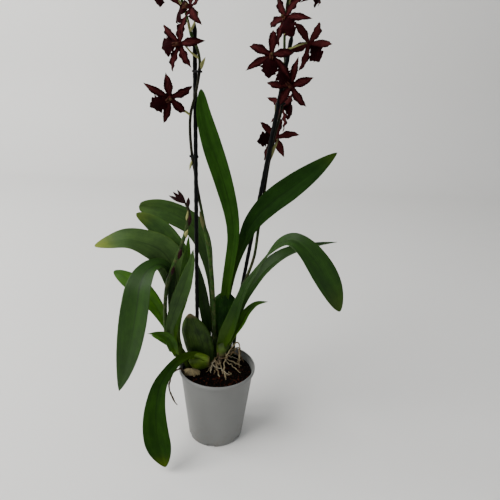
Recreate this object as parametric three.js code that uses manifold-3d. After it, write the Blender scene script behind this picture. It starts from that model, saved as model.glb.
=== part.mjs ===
// Potted orchid: a nursery pot of bark mix, bulbs, leaves, stakes, flower spikes and blooms.
// Millimetres, +Z up, -Y is the front. The origin is the middle of the pot's base.
import * as THREE from 'three';
import { mergeVertices } from 'three/addons/utils/BufferGeometryUtils.js';
import Module from 'manifold-3d';

const wasm = await Module();
wasm.setup();

// Driving dimensions

const CLEARANCE = 0.35;
const ROOT_CLEARANCE = 0.55;
const POT = {
  height: 125,
  rimRadius: 60,
  rimHeight: 6,
  wallTopRadius: 57.2,
  baseRadius: 43.2,
  wall: 1.8,
  sides: 32,
  centreDiscRadius: 20,
  channelRadius: 36,
  channelDepth: 3,
  notches: 6,
  notchWidth: 11,
  notchHeight: 4,
  notchTurn: -95,
  drainHoles: 6,
  drainRadius: 28,
  drainHoleRadius: 4,
};
const MIX = { top: 115, bottom: 5.6, mound: 0.8 };
const STAKE = { radius: 3, sides: 8 };
const LEAF_THICKNESS = 0.9;
const PETAL_THICKNESS = 0.8;
const SPIKE_RADIUS = 2.4;
const STALK_RADIUS = 1.1;
const STAKES = {
  left: [[-30, 29, 32], [-34.6, 34.2, 105], [-42.6, 34.2, 618]],
  right: [[11.5, 45.8, 88], [14.5, 47.3, 108], [24, 49.6, 175], [84.8, 50.9, 610]],
};

// A leaf's route is its midrib from base to tip. Its faces are the directions that its upper
// side looks, at equal steps. Fold is the rise of each half from flat, in degrees, at the base
// and past the middle. Neck is the base's width as a share of the full width, kept up to hold.
const LEAVES = {
  leaf_tall: {
    route: [
      [8, 44, 222], [10, 43, 250], [14, 40, 285], [19, 37, 327], [16, 33, 366],
      [3, 26, 416], [-14, 18, 466], [-26, 13, 506], [-31, 10, 539],
    ],
    faces: [[-0.3, -1, 0], [0, -1, 0.1], [0.1, -1, 0.2]],
    width: 28, neck: 0.62, hold: 0.22, widest: 0.72, taper: 0.52, fold: [34, 12], wave: 0.9, waves: 1.6,
  },
  leaf_upright_right: {
    route: [
      [12, 51, 220], [19, 52, 260], [30, 50, 307], [44, 44, 347], [69, 34, 382], [98, 21, 411],
      [126, 5, 440], [151, -12, 469],
    ],
    faces: [[-0.3, -1, 0], [-0.5, -1, 0.5], [-0.3, -1, 0.5]],
    width: 37, neck: 0.26, hold: 0.1, widest: 0.66, taper: 0.7, fold: [34, 10], wave: 1.1, waves: 1.4,
  },
  leaf_arched: {
    route: [
      [6, 20, 148], [18, 19, 182], [24, 18, 202], [31.5, 15.5, 230], [40, 11, 258], [56, 3, 291],
      [71, -7, 320], [87, -17, 340], [102, -28, 347], [119, -38, 339], [137, -48, 320],
      [155, -57, 294], [170, -62, 262],
    ],
    faces: [[-0.35, -1, 0.1], [-0.7, -0.6, 0.5], [-0.1, -0.15, 1], [0.5, -1, 0.5], [0.4, -1, 0.1]],
    width: 41, foot: 0.64, neck: 0.34, hold: 0.53, widest: 0.86, taper: 0.5, fold: [30, 10], wave: 0.9,
    waves: 1.3,
  },
  leaf_outer_right: {
    route: [
      [10, 26.5, 150], [26, 31, 190], [45, 34, 236], [66, 39, 270], [93, 45, 294],
      [122, 52, 306], [151, 58, 313], [178, 62, 318],
    ],
    faces: [[-0.3, -1, 0.3], [-0.2, -0.3, 1], [0, 0, 1]],
    width: 29, foot: 0.7, neck: 0.44, hold: 0.3, widest: 0.6, taper: 0.8, fold: [38, 24], wave: 0.9,
    waves: 1.5,
  },
  leaf_small_right: {
    route: [[18, 15, 155], [27, 15, 176], [36, 15.5, 194], [44, 18.5, 211], [57, 25, 222], [75, 28, 226]],
    faces: [[-0.7, -0.6, 0.5], [-0.1, -0.5, 1]],
    width: 17, neck: 0.6, hold: 0, widest: 0.4, taper: 0.85, fold: [35, 20], wave: 0.3, waves: 1,
  },
  leaf_inner_right: {
    route: [
      [-15, 40, 111], [-18.5, 41.5, 144], [-22.5, 42.3, 180], [-27.5, 43.2, 214], [-33.5, 43.8, 250],
      [-40.5, 44, 286.5],
    ],
    faces: [[0.3, -1, 0], [0.2, -1, 0.2]],
    width: 19, neck: 0.5, hold: 0.1, widest: 0.55, taper: 0.8, fold: [38, 24], wave: 0.5, waves: 1,
  },
  leaf_drooping: {
    route: [
      [-61, 4, 142], [-68, 4.5, 170], [-72, 4.5, 200], [-73, 3, 232], [-71.5, -1, 262],
      [-73, -8, 288], [-86, -19, 300],
      [-99, -36, 296], [-105, -54, 280], [-108, -65, 251], [-114, -73, 212], [-124, -77, 167],
      [-135, -78, 125],
    ],
    faces: [[0.5, -0.9, 0], [0.4, -0.8, 0.3], [-0.1, -0.3, 1], [-0.4, -1, 0.5], [-0.3, -1, 0]],
    width: 46, neck: 0.2, hold: 0.25, widest: 0.68, taper: 0.8, fold: [34, 14], wave: 1.2, waves: 1.6,
  },
  leaf_back_left: {
    route: [
      [-60, 14, 139], [-74, 18, 162], [-89, 22, 192], [-105, 26, 217], [-128, 31, 240],
      [-150, 36, 252], [-168, 41, 259],
    ],
    faces: [[0.2, -1, 0.2], [0.1, -1, 0.5]],
    width: 30, neck: 0.3, hold: 0.1, widest: 0.7, taper: 0.55, fold: [35, 14], wave: 0.8, waves: 1.2,
  },
  leaf_far_left: {
    route: [
      [-59, 8.3, 140], [-66, 9, 170], [-66.5, 10.5, 200], [-64.5, 11.2, 232], [-65, 10.5, 262],
      [-72, 9, 291], [-86, 6, 311],
      [-105, 0, 323], [-130, -8, 331], [-155, -15, 328], [-175, -20, 324],
    ],
    faces: [[0.3, -1, 0], [0.3, -1, 0.3], [0, -1, 0.7], [0, -0.25, 1]],
    width: 46, neck: 0.17, hold: 0.15, widest: 0.58, taper: 0.5, fold: [34, 10], wave: 3.4, waves: 2.4,
  },
  leaf_high_left: {
    route: [
      [-9, 49, 111], [-12, 53, 157], [-16, 55, 220], [-21.5, 56, 270], [-30.5, 57, 308],
      [-44.6, 58, 333], [-63.7, 57, 347], [-93, 54, 359], [-127, 50, 364],
    ],
    faces: [[0.3, -1, 0], [0.3, -1, 0.1], [0, -1, 0.5], [0, -1, 0.4]],
    width: 35, neck: 0.2, hold: 0.34, widest: 0.8, taper: 0.36, fold: [38, 12], wave: 1.0, waves: 1.4,
  },
  leaf_second_left: {
    route: [
      [-57.5, 12, 138], [-63.5, 13, 168], [-61, 14.5, 200], [-55.5, 16.5, 232],
      [-53, 18.5, 260], [-58, 20.5, 291], [-71, 23, 313],
      [-86, 25, 333], [-104, 25, 348], [-125, 23, 361],
    ],
    faces: [[0.3, -1, 0], [0.2, -1, 0.3], [0, -1, 0.7]],
    width: 33, neck: 0.21, hold: 0.2, widest: 0.7, taper: 0.5, fold: [34, 14], wave: 1.0, waves: 1.6,
  },
  leaf_blue_green: {
    route: [
      [-64, -5, 147], [-70, -9, 170], [-72, -12, 192], [-66, -15, 218], [-57, -19, 246],
      [-47, -22, 275], [-39, -23, 305],
      [-36, -22, 327],
    ],
    faces: [[0.2, -1, 0], [-0.1, -1, 0.2], [-0.1, -1, 0.4]],
    width: 22, neck: 0.4, hold: 0.05, widest: 0.6, taper: 0.8, fold: [30, 14], wave: 0.5, waves: 1.2,
  },
  leaf_inner_left: {
    route: [
      [-62, -1, 144], [-67, -2, 170], [-64, -4, 200], [-56, -6.5, 235], [-50, -9, 270],
      [-47, -9.5, 305], [-44, -9, 343],
    ],
    faces: [[0.2, -1, 0], [0.2, -1, 0.2]],
    width: 19, neck: 0.4, hold: 0.1, widest: 0.6, taper: 0.9, fold: [30, 20], wave: 0.4, waves: 1.2,
  },
  leaf_recurved: {
    route: [[-63.5, -8.5, 145], [-68.5, -14, 167], [-75, -18.5, 181], [-88, -24, 189], [-102, -30, 193]],
    faces: [[0.3, -1, 0.3], [0, -0.7, 0.9]],
    width: 17, neck: 0.55, hold: 0, widest: 0.4, taper: 1.0, fold: [30, 24], wave: 0.3, waves: 1,
  },
  leaf_low_left: {
    route: [[-66.5, 7, 144.5], [-73, 6, 152], [-81, 5, 160], [-91, 4.5, 166], [-104, 5, 169]],
    faces: [[0, -1, 0.3], [0, -1, 0.6]],
    width: 11, neck: 0.6, hold: 0, widest: 0.5, taper: 0.75, fold: [22, 12], wave: 0.2, waves: 1,
  },
  leaf_over_rim: {
    route: [
      [-22, -1, 134], [-29, -3, 138.5], [-37, -7, 142], [-47, -14.5, 144.5], [-58, -27, 144.5],
      [-69, -43, 138], [-79, -60, 124], [-82, -77, 101], [-80, -90, 71], [-74, -98, 42],
      [-66, -103, 13],
    ],
    faces: [[-0.4, -0.3, 1], [-0.2, -0.6, 1], [-0.3, -1, 0.8], [-0.2, -1, 0.2]],
    width: 41, neck: 0.4, hold: 0.2, widest: 0.8, taper: 0.7, fold: [34, 12], wave: 1.4, waves: 1.7,
  },
};
const SMALL_LEAVES = ['leaf_small_right', 'leaf_recurved', 'leaf_low_left'];
const BROAD_LEAVES = [
  'leaf_tall', 'leaf_upright_right', 'leaf_arched', 'leaf_drooping', 'leaf_far_left', 'leaf_high_left',
  'leaf_over_rim',
];

// Each bulb stands on its foot, leans by its top's offset and is oval in plan. Its waist is the
// foot's width as a share of the widest. The young one is tilted over, in degrees.
const BULBS = {
  bulb_front: {
    foot: [-24, 20.2, 108], lean: [-22, 2.6], height: 92, across: 48, through: 18, ribs: 7, rib: 0.03,
    waist: 0.62, widest: 0.45, shoulder: 1.8,
  },
  bulb_back: {
    foot: [5, 38, 108], lean: [2, 10], height: 122, across: 39, through: 17, ribs: 7, rib: 0,
    waist: 0.3, widest: 0.78, shoulder: 2,
  },
  bulb_young: {
    foot: [-12.5, 1, 129], lean: [2.5, -5], height: 32, across: 28, through: 20, ribs: 7, rib: 0,
    waist: 0.55, widest: 0.55, shoulder: 1.5, tilt: -90,
  },
  bulb_old: {
    foot: [-38, -12, 106], lean: [-2, 0], height: 17, across: 29, through: 17, ribs: 7, rib: 0.04,
    waist: 0.62, widest: 0.6, shoulder: 1.5,
  },
};

// Shoots are oval tapers between a low and a high ring: centre, width across, depth through.
const SHOOTS = {
  shoot_left: [
    { at: [-47, 7, 109], across: 11, through: 10 },
    { at: [-48.5, 5.5, 125.5], across: 11, through: 20 },
    { at: [-60.5, 3.5, 143], across: 15, through: 27 },
    { at: [-66, 2.5, 156], across: 13, through: 25 },
  ],
  shoot_right: [
    { at: [5, 15, 134], across: 13, through: 12 },
    { at: [6.5, 19, 143], across: 16, through: 16 },
    { at: [10, 21.5, 156], across: 24, through: 16 },
    { at: [13, 22.5, 167], across: 29, through: 14 },
  ],
};
const RHIZOME = { route: [[-30, 9, 112], [-12, 9, 113], [0, 11, 118], [5, 13, 132]], radius: 4 };

const SPIKES = {
  spike_left: [
    [-5, 31.5, 104], [-7, 32.5, 150], [-11, 31, 223], [-15, 31, 277], [-22, 33, 322],
    [-30, 36, 361], [-37, 39.9, 393], [-41.5, 39.9, 421], [-45.5, 37, 446], [-48, 33, 480],
    [-46.5, 29, 506], [-41, 27, 527], [-36, 27, 553], [-35, 27.5, 574], [-39, 27, 590],
    [-46, 28, 604], [-51, 30, 621], [-57, 30, 640], [-66, 30, 662], [-74, 30, 687],
    [-80, 30, 712],
  ],
  spike_right: [
    [21, 34, 104], [26, 36.5, 160], [29, 41.5, 200], [31, 43.6, 235], [40, 39, 261],
    [50, 42, 296], [54, 46, 337],
    [57, 50, 368], [60, 53, 395], [62.5, 54.5, 422], [65.5, 55.8, 447], [70.5, 56, 479], [77, 56, 510],
    [80, 56.5, 540], [79, 56.5, 569], [76, 56, 595], [75, 54, 618], [76, 52, 646],
    [78, 50, 672], [81, 48, 697], [85, 46, 721],
  ],
  spike_young: [
    [-71.6, -4, 149], [-76, -4.5, 161], [-79, -5, 180], [-80, -5, 205],
    [-79, -8, 235], [-75, -13.5, 266],
    [-66, -18, 296], [-55, -19, 325], [-47, -21, 352], [-42, -22, 378], [-46, -24, 394],
  ],
};

// A bloom's middle, the way it faces, the way its top sepal points, and the height at which its
// stalk leaves the spike. One stalk goes round its stake by way of a point.
const BLOOMS = {
  bloom_left_1: { at: [-72, 11, 526], face: [0.3, -0.93, -0.2], top: [0.86, 0.25, 0.45], stem: 503 },
  bloom_left_2: { at: [-59, 15, 592], face: [-0.4, -0.9, 0.05], top: [0.93, -0.3, 0.2], stem: 576 },
  bloom_left_3: {
    at: [-42.3, -7.2, 632.5], face: [-0.69, -0.55, 0.47], top: [0.72, -0.42, 0.55], stem: 608,
  },
  bloom_left_4: { at: [-77, 10, 661], face: [-0.6, -0.9, 0.2], top: [0.3, 0.2, 1], stem: 634 },
  bloom_left_5: { at: [-46, 27, 689], face: [0.7, -0.8, 0.1], top: [0.1, 0, 1], stem: 652 },
  bloom_right_1: { at: [73, 72, 472], face: [-0.2, 0.95, 0.2], top: [0.98, 0.15, 0.2], stem: 440 },
  bloom_right_2: { at: [78.5, 80, 516], face: [0.84, 0.54, 0], top: [-0.52, 0.8, 0.3], stem: 486 },
  bloom_right_3: { at: [87, 31, 547], face: [-0.33, -0.94, -0.1], top: [0.62, -0.14, -0.78], stem: 531 },
  bloom_right_4: { at: [58, 18, 584], face: [0.07, -0.97, 0.25], top: [0.07, 0.25, 0.96], stem: 574 },
  bloom_right_5: { at: [107.3, 44, 601], face: [0.56, 0.83, 0.03], top: [-0.54, 0.34, 0.77], stem: 588,
    via: [77.5, 45, 591] },
  bloom_right_6: { at: [74, 32, 630], face: [-0.67, -0.72, 0.17], top: [-0.36, 0.52, 0.77], stem: 610 },
  bloom_right_7: { at: [107, 49, 672], face: [0.85, -0.45, 0.2], top: [0, 0, 1], stem: 640 },
  bloom_right_8: { at: [57, 36, 682], face: [-0.5, -0.9, 0.1], top: [0.1, 0, 1], stem: 660 },
};
const BLOOM = {
  neck: 7, neckRadius: 1.5, sepal: 34, sepalWidth: 12.5, petal: 31, petalWidth: 13, lateral: 37,
  lateralWidth: 11, recurve: 7, lip: 29, lipWidth: 24, hubRadius: 4.2, columnRadius: 2.3,
  columnLength: 9,
};
const SPIKE_BUDS = {
  spike_left: [[-86, 24, 712, 13], [-72, 25, 728, 11], [-84, 30, 731, 9]],
  spike_right: [[76, 40, 716, 13], [94, 44, 730, 11], [85, 46, 741, 9]],
};
const YOUNG_BUDS = [
  [[-46, -24, 393], [-69, -26, 404]], [[-46, -24, 393], [-63, -28, 410]],
  [[-46, -24, 393], [-57, -27, 413]], [[-44, -22, 386], [-42, -26, 403]],
];
const BRACTS = {
  spike_left: [
    [[-30, 36, 356], [-33, 33, 376], 5], [[-45.3, 36.5, 440], [-49, 33, 426], 4],
    [[-36, 27.5, 560], [-27, 24, 578], 6], [[-46, 28, 604], [-51, 25, 622], 4],
    [[-66, 30, 662], [-60, 27, 677], 4],
  ],
  spike_right: [
    [[65.5, 55.8, 445], [73, 53.5, 468], 7], [[79, 56, 545], [85, 54, 560], 5],
    [[75, 54, 618], [66, 50, 633], 6], [[76, 52, 646], [84, 49, 657], 5],
    [[81, 48, 697], [75, 46, 708], 4],
  ],
  spike_young: [
    [[-72, -14, 276], [-60, -19, 312], 7], [[-51, -20, 338], [-46, -24, 356], 7],
    [[-44, -21, 366], [-43, -25, 384], 6],
  ],
};

// A tie is a flat ring round a stake and its spike, at this height.
const TIES = {
  tie_left_low: { side: 'left', height: 446 },
  tie_left_high: { side: 'left', height: 560 },
  tie_right: { side: 'right', height: 522 },
};
const TIE = { wall: 0.8, height: 2.6, radius: 3.3 };

const ROOTS = {
  roots_front: [
    [1.3, [[-5, 5, 129.5], [-1, 2.5, 128], [4, -1, 125]]],
    [1.3, [[-4, 4, 129], [-7.5, 0, 126], [-9, -5.5, 121], [-9, -11.5, 116.6]]],
    [1.3, [[-2.5, 3, 128], [-1, -2, 123.5], [2, -9, 118.5], [6, -21, 116.5]]],
  ],
  roots_right: [
    [1.4, [[14, 9, 137], [12.5, 6, 131], [11, 0, 124], [12, -10, 118.5], [15.5, -27, 116.6]]],
    [1.3, [[13, 8, 134], [20, 9.5, 127], [29, 11, 121], [39, 12, 116.6]]],
    [1.3, [[13, 8.5, 136], [22, 12, 149], [29, 15, 158.5], [33.5, 15, 152], [34, 10, 134], [35, 7, 116.4]]],
  ],
  root_outside: [
    [1.3, [[-49, -18.5, 121], [-56, -22.5, 130], [-65, -28, 125], [-70.5, -34, 108], [-67, -36, 89],
      [-58, -37, 73]]],
  ],
};

const MATERIALS = {
  pot: { color: 0x9c9d9b, roughness: 0.5 },
  mix: { color: 0x241a14, roughness: 0.95 },
  stake: { color: 0x0c0d10, roughness: 0.35 },
  bulb: { color: 0x2f4420, roughness: 0.55 },
  youngBulb: { color: 0x55742a, roughness: 0.5 },
  oldBulb: { color: 0x9a8a5c, roughness: 0.8 },
  leaf: { color: 0x35561f, roughness: 0.45 },
  leafDark: { color: 0x24421d, roughness: 0.45 },
  spike: { color: 0x3f3a24, roughness: 0.55 },
  youngSpike: { color: 0x3a2b2a, roughness: 0.55 },
  bloom: { color: 0x3a0c12, roughness: 0.6 },
  root: { color: 0xb0a383, roughness: 0.8 },
  rhizome: { color: 0x6c5a40, roughness: 0.85 },
};

// Shared shaping functions

function vector(point) {
  return new THREE.Vector3(...point);
}

function routeCurve(points) {
  return new THREE.CatmullRomCurve3(points.map(vector), false, 'catmullrom', 0.5);
}

function directionAt(directions, t) {
  const place = t * (directions.length - 1);
  const first = Math.min(Math.floor(place), directions.length - 2);
  return vector(directions[first]).lerp(vector(directions[first + 1]), place - first);
}

function meshGeometry(positions, triangles) {
  const geometry = new THREE.BufferGeometry();
  geometry.setAttribute('position', new THREE.Float32BufferAttribute(positions, 3));
  geometry.setIndex(triangles);
  return geometry;
}

// Merges equal corners and leaves out the triangles that shrink to a line.
function welded(geometry) {
  const bare = new THREE.BufferGeometry();
  bare.setAttribute('position', geometry.getAttribute('position').clone());
  if (geometry.index) bare.setIndex(geometry.index.clone());
  const merged = mergeVertices(bare, 1e-4);
  const corners = merged.index.array;
  const kept = [];
  for (let i = 0; i < corners.length; i += 3) {
    const [a, b, c] = corners.slice(i, i + 3);
    if (a !== b && b !== c && c !== a) kept.push(a, b, c);
  }
  merged.setIndex(kept);
  return merged;
}

function solidOf(geometry) {
  const merged = welded(geometry);
  const vertProperties = new Float32Array(merged.getAttribute('position').array);
  const triVerts = new Uint32Array(merged.index.array);
  return new wasm.Manifold(new wasm.Mesh({ numProp: 3, vertProperties, triVerts }));
}

function geometryOf(solid) {
  const mesh = solid.getMesh();
  return welded(meshGeometry(Array.from(mesh.vertProperties), Array.from(mesh.triVerts)));
}

function united(geometries) {
  return geometries.map(solidOf).reduce((sum, piece) => sum.add(piece));
}

// Cuts the cutters out of a body and keeps the biggest part that is left.
function carved(geometry, cutters) {
  const cut = cutters.map(solidOf).reduce((rest, cutter) => rest.subtract(cutter), solidOf(geometry));
  const parts = cut.decompose();
  parts.sort((a, b) => b.volume() - a.volume());
  return geometryOf(parts[0]);
}

// A strip is closed all round, with its upper and lower faces split into triangles alike.
function stripGeometry(upper, lower) {
  const steps = upper.length - 1;
  const columns = upper[0].length - 1;
  const positions = [];
  for (const side of [upper, lower]) {
    for (const row of side) {
      for (const point of row) positions.push(point.x, point.y, point.z);
    }
  }
  const row = columns + 1;
  const under = row * (steps + 1);
  const triangles = [];
  const quad = (a, b, c, d) => triangles.push(a, b, c, a, c, d);
  for (let i = 0; i < steps; i += 1) {
    const here = i * row;
    const next = here + row;
    for (let j = 0; j < columns; j += 1) {
      quad(here + j, here + j + 1, next + j + 1, next + j);
      triangles.push(under + here + j, under + next + j + 1, under + here + j + 1);
      triangles.push(under + here + j, under + next + j, under + next + j + 1);
    }
    quad(here, next, under + next, under + here);
    quad(here + columns, under + here + columns, under + next + columns, next + columns);
  }
  const last = steps * row;
  for (let j = 0; j < columns; j += 1) {
    quad(j, under + j, under + j + 1, j + 1);
    quad(last + j, last + j + 1, under + last + j + 1, under + last + j);
  }
  return meshGeometry(positions, triangles);
}

// Share of the full width: from the foot to the neck, out to the widest place, then in to the tip.
function relativeWidth(t, { foot, neck, hold = 0, widest, taper }) {
  if (foot && t < hold) {
    return foot + (neck - foot) * THREE.MathUtils.smoothstep(t, 0, hold);
  }
  if (t < widest) {
    return neck + (1 - neck) * THREE.MathUtils.smoothstep(t, hold, widest);
  }
  const s = (t - widest) / (1 - widest);
  return Math.cos(0.5 * Math.PI * s) ** taper;
}

// A blade: a folded, waved strip of even thickness along its route.
function bladeGeometry(blade) {
  const { route, faces, width, fold, wave, waves, thickness } = blade;
  const { steps, columns, tip = 1.2, foldEnd = 0.45 } = blade;
  const curve = routeCurve(route);
  const upper = [];
  const lower = [];
  for (let i = 0; i <= steps; i += 1) {
    const t = i / steps;
    const centre = curve.getPointAt(t);
    const along = curve.getTangentAt(t);
    const normal = directionAt(faces, t);
    normal.addScaledVector(along, -normal.dot(along)).normalize();
    const side = new THREE.Vector3().crossVectors(along, normal);
    const half = 0.5 * Math.max(width * relativeWidth(t, blade), tip);
    const closing = Math.max(0, 1 - t / foldEnd) ** 2;
    const angle = THREE.MathUtils.degToRad(fold[1] + (fold[0] - fold[1]) * closing);
    const swell = wave * Math.sin(Math.PI * t) ** 0.5;
    const upperRow = [];
    const lowerRow = [];
    for (let j = 0; j <= columns; j += 1) {
      const u = -1 + 2 * j / columns;
      const phase = 2 * Math.PI * waves * t + (u > 0 ? 0.6 : 2.4);
      const lift = Math.abs(u) * half * Math.sin(angle) + swell * u * u * Math.sin(phase);
      const middle = centre.clone().addScaledVector(side, u * half * Math.cos(angle));
      middle.addScaledVector(normal, lift);
      const rise = 0.5 * thickness / Math.cos(angle);
      upperRow.push(middle.clone().addScaledVector(normal, rise));
      lowerRow.push(middle.clone().addScaledVector(normal, -rise));
    }
    upper.push(upperRow);
    lower.push(lowerRow);
  }
  return stripGeometry(upper, lower);
}

function roundShape(radius, sides) {
  const corners = [];
  for (let i = 0; i < sides; i += 1) {
    const turn = 2 * Math.PI * i / sides;
    corners.push(new THREE.Vector2(radius * Math.cos(turn), radius * Math.sin(turn)));
  }
  return new THREE.Shape(corners);
}

function tubeGeometry(points, radius, sides, steps) {
  const extrudePath = routeCurve(points);
  return new THREE.ExtrudeGeometry(roundShape(radius, sides), { steps, bevelEnabled: false, extrudePath });
}

// A pointed or round-ended body of revolution from one point to another.
function spindleGeometry(start, end, radius, sides, roundness) {
  const rings = 4;
  const length = vector(start).distanceTo(vector(end));
  const profile = [];
  for (let i = 0; i <= rings; i += 1) {
    const t = i / rings;
    profile.push(new THREE.Vector2(radius * Math.sin(Math.PI * t) ** roundness, length * t));
  }
  profile[0].x = 0;
  profile[rings].x = 0;
  const geometry = new THREE.LatheGeometry(profile, sides);
  const direction = vector(end).sub(vector(start)).normalize();
  const turn = new THREE.Quaternion().setFromUnitVectors(new THREE.Vector3(0, 1, 0), direction);
  geometry.applyQuaternion(turn);
  geometry.translate(...start);
  return geometry;
}

// A lathe about the upright axis from [radius, height] pairs.
function uprightLathe(pairs, sides) {
  const geometry = new THREE.LatheGeometry(pairs.map(([r, z]) => new THREE.Vector2(r, z)), sides);
  geometry.rotateX(0.5 * Math.PI);
  return geometry;
}

// The pot and its mix

function innerRadius(z) {
  const low = POT.baseRadius - POT.wall;
  const high = POT.wallTopRadius - POT.wall;
  return low + (high - low) * z / (POT.height - POT.rimHeight);
}

function potGeometry() {
  const { height, rimRadius, rimHeight, wallTopRadius, baseRadius, wall } = POT;
  const { centreDiscRadius, channelRadius, channelDepth } = POT;
  const band = height - rimHeight;
  const profile = [
    [0, 0], [centreDiscRadius, 0], [centreDiscRadius + 1, channelDepth],
    [channelRadius - 1, channelDepth], [channelRadius, 0], [baseRadius, 0],
    [wallTopRadius, band], [rimRadius, band + 0.8], [rimRadius, height - 1.2],
    [rimRadius - 1.2, height], [wallTopRadius, height], [innerRadius(band), band],
    [innerRadius(wall), wall], [channelRadius + 1, wall], [channelRadius - 0.5, channelDepth + wall],
    [centreDiscRadius + 0.5, channelDepth + wall], [centreDiscRadius - 1, wall], [0, wall],
  ];
  const cutters = [];
  for (let i = 0; i < POT.notches; i += 1) {
    const notch = new THREE.BoxGeometry(12, POT.notchWidth, 2 * POT.notchHeight);
    notch.translate(baseRadius - 1, 0, 0);
    notch.rotateZ(THREE.MathUtils.degToRad(POT.notchTurn) + 2 * Math.PI * i / POT.notches);
    cutters.push(notch);
  }
  for (let i = 0; i < POT.drainHoles; i += 1) {
    const hole = new THREE.CylinderGeometry(POT.drainHoleRadius, POT.drainHoleRadius, 12, 8);
    hole.rotateX(0.5 * Math.PI);
    hole.translate(POT.drainRadius, 0, 4);
    hole.rotateZ(THREE.MathUtils.degToRad(POT.notchTurn + 30) + 2 * Math.PI * i / POT.drainHoles);
    cutters.push(hole);
  }
  return carved(uprightLathe(profile, POT.sides), cutters);
}

function moundHeight(x, y) {
  const slow = Math.sin(0.11 * x + 1.3) * Math.cos(0.13 * y - 0.4);
  const quick = Math.sin(0.37 * x - 0.5) * Math.sin(0.31 * y + 0.9);
  return MIX.mound * (slow + 0.6 * quick);
}

function mixGeometry(cutters) {
  const edge = MIX.top - 1.5;
  const profile = [[0, MIX.bottom], [innerRadius(MIX.bottom) - CLEARANCE, MIX.bottom]];
  profile.push([innerRadius(edge) - CLEARANCE, edge]);
  for (const share of [0.75, 0.35]) profile.push([innerRadius(edge) * share, MIX.top]);
  profile.push([0, MIX.top]);
  const geometry = uprightLathe(profile, POT.sides);
  const position = geometry.getAttribute('position');
  for (let i = 0; i < position.count; i += 1) {
    if (position.getZ(i) === MIX.top) {
      position.setZ(i, MIX.top + moundHeight(position.getX(i), position.getY(i)));
    }
  }
  return carved(geometry, cutters);
}

// Bulbs and shoots

function bulbGeometry(bulb, extra = 0) {
  const rings = 6;
  const profile = [[0, -extra]];
  for (let i = 0; i <= rings; i += 1) {
    const t = i / rings;
    const below = t < bulb.widest ? (bulb.widest - t) / bulb.widest : 0;
    const above = t > bulb.widest ? (t - bulb.widest) / (1 - bulb.widest) : 0;
    const drawnIn = 1 - 0.86 * above ** (1.6 * bulb.shoulder);
    const full = Math.sqrt(1 - (1 - bulb.waist ** 2) * below ** 2) * drawnIn;
    profile.push([full, t * bulb.height + extra * (2 * t - 1)]);
  }
  profile.push([0, bulb.height + 1.5 + extra]);
  const geometry = uprightLathe(profile, 2 * bulb.ribs);
  const position = geometry.getAttribute('position');
  for (let i = 0; i < position.count; i += 1) {
    const z = position.getZ(i);
    const x = position.getX(i);
    const y = position.getY(i);
    const furrow = 1 - bulb.rib * (1 + Math.cos(bulb.ribs * Math.atan2(y, x)));
    const t = THREE.MathUtils.clamp(z / bulb.height, 0, 1) ** 1.4;
    position.setX(i, x * furrow * (0.5 * bulb.across + extra) + bulb.lean[0] * t);
    position.setY(i, y * furrow * (0.5 * bulb.through + extra) + bulb.lean[1] * t);
  }
  geometry.rotateY(THREE.MathUtils.degToRad(bulb.tilt ?? 0));
  geometry.translate(...bulb.foot);
  return geometry;
}

// An oval taper through a list of rings, drawn as a strip folded round on itself.
function taperGeometry(rings, extra = 0) {
  const sides = 12;
  const upper = [];
  const lower = [];
  rings.forEach(({ at, across, through }, place) => {
    const lift = place === 0 ? -extra : place === rings.length - 1 ? extra : 0;
    const upperRow = [];
    const lowerRow = [];
    for (let j = 0; j <= sides / 2; j += 1) {
      const turn = Math.PI * (j + 0.5) / (sides / 2 + 1);
      const x = at[0] - (0.5 * across + extra) * Math.cos(turn);
      const y = (0.5 * through + extra) * Math.sin(turn);
      lowerRow.push(new THREE.Vector3(x, at[1] + y, at[2] + lift));
      upperRow.push(new THREE.Vector3(x, at[1] - y, at[2] + lift));
    }
    upper.push(upperRow);
    lower.push(lowerRow);
  });
  return stripGeometry(upper, lower);
}

// Leaves

function leafBlade(name, extra = 0) {
  const leaf = LEAVES[name];
  const { route } = leaf;
  const small = SMALL_LEAVES.includes(name);
  return bladeGeometry({
    ...leaf,
    width: leaf.width + 2 * extra / Math.max(leaf.neck, 0.2),
    thickness: LEAF_THICKNESS + 2 * extra,
    steps: small ? 6 : route.length + 2,
    columns: BROAD_LEAVES.includes(name) ? 4 : 2,
  });
}

// Blooms

// Sepals and petals spread in the plane of the flower: x to its right, y to its top, z out of it.
function tepalGeometry(turn, length, width, phase) {
  const angle = THREE.MathUtils.degToRad(turn);
  const place = (share, z) => [length * share * Math.sin(angle), length * share * Math.cos(angle), z];
  return bladeGeometry({
    route: [place(0.08, 0), place(0.35, 1.5), place(0.7, 0.2), place(1, -BLOOM.recurve)],
    faces: [[0, 0, 1], [0, 0, 1]],
    width, neck: 0.3, widest: 0.38, taper: 1.05, fold: [14, 8], wave: 0.9, waves: 1.4 + phase,
    thickness: PETAL_THICKNESS, steps: 3, columns: 2, tip: 0.9,
  });
}

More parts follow.
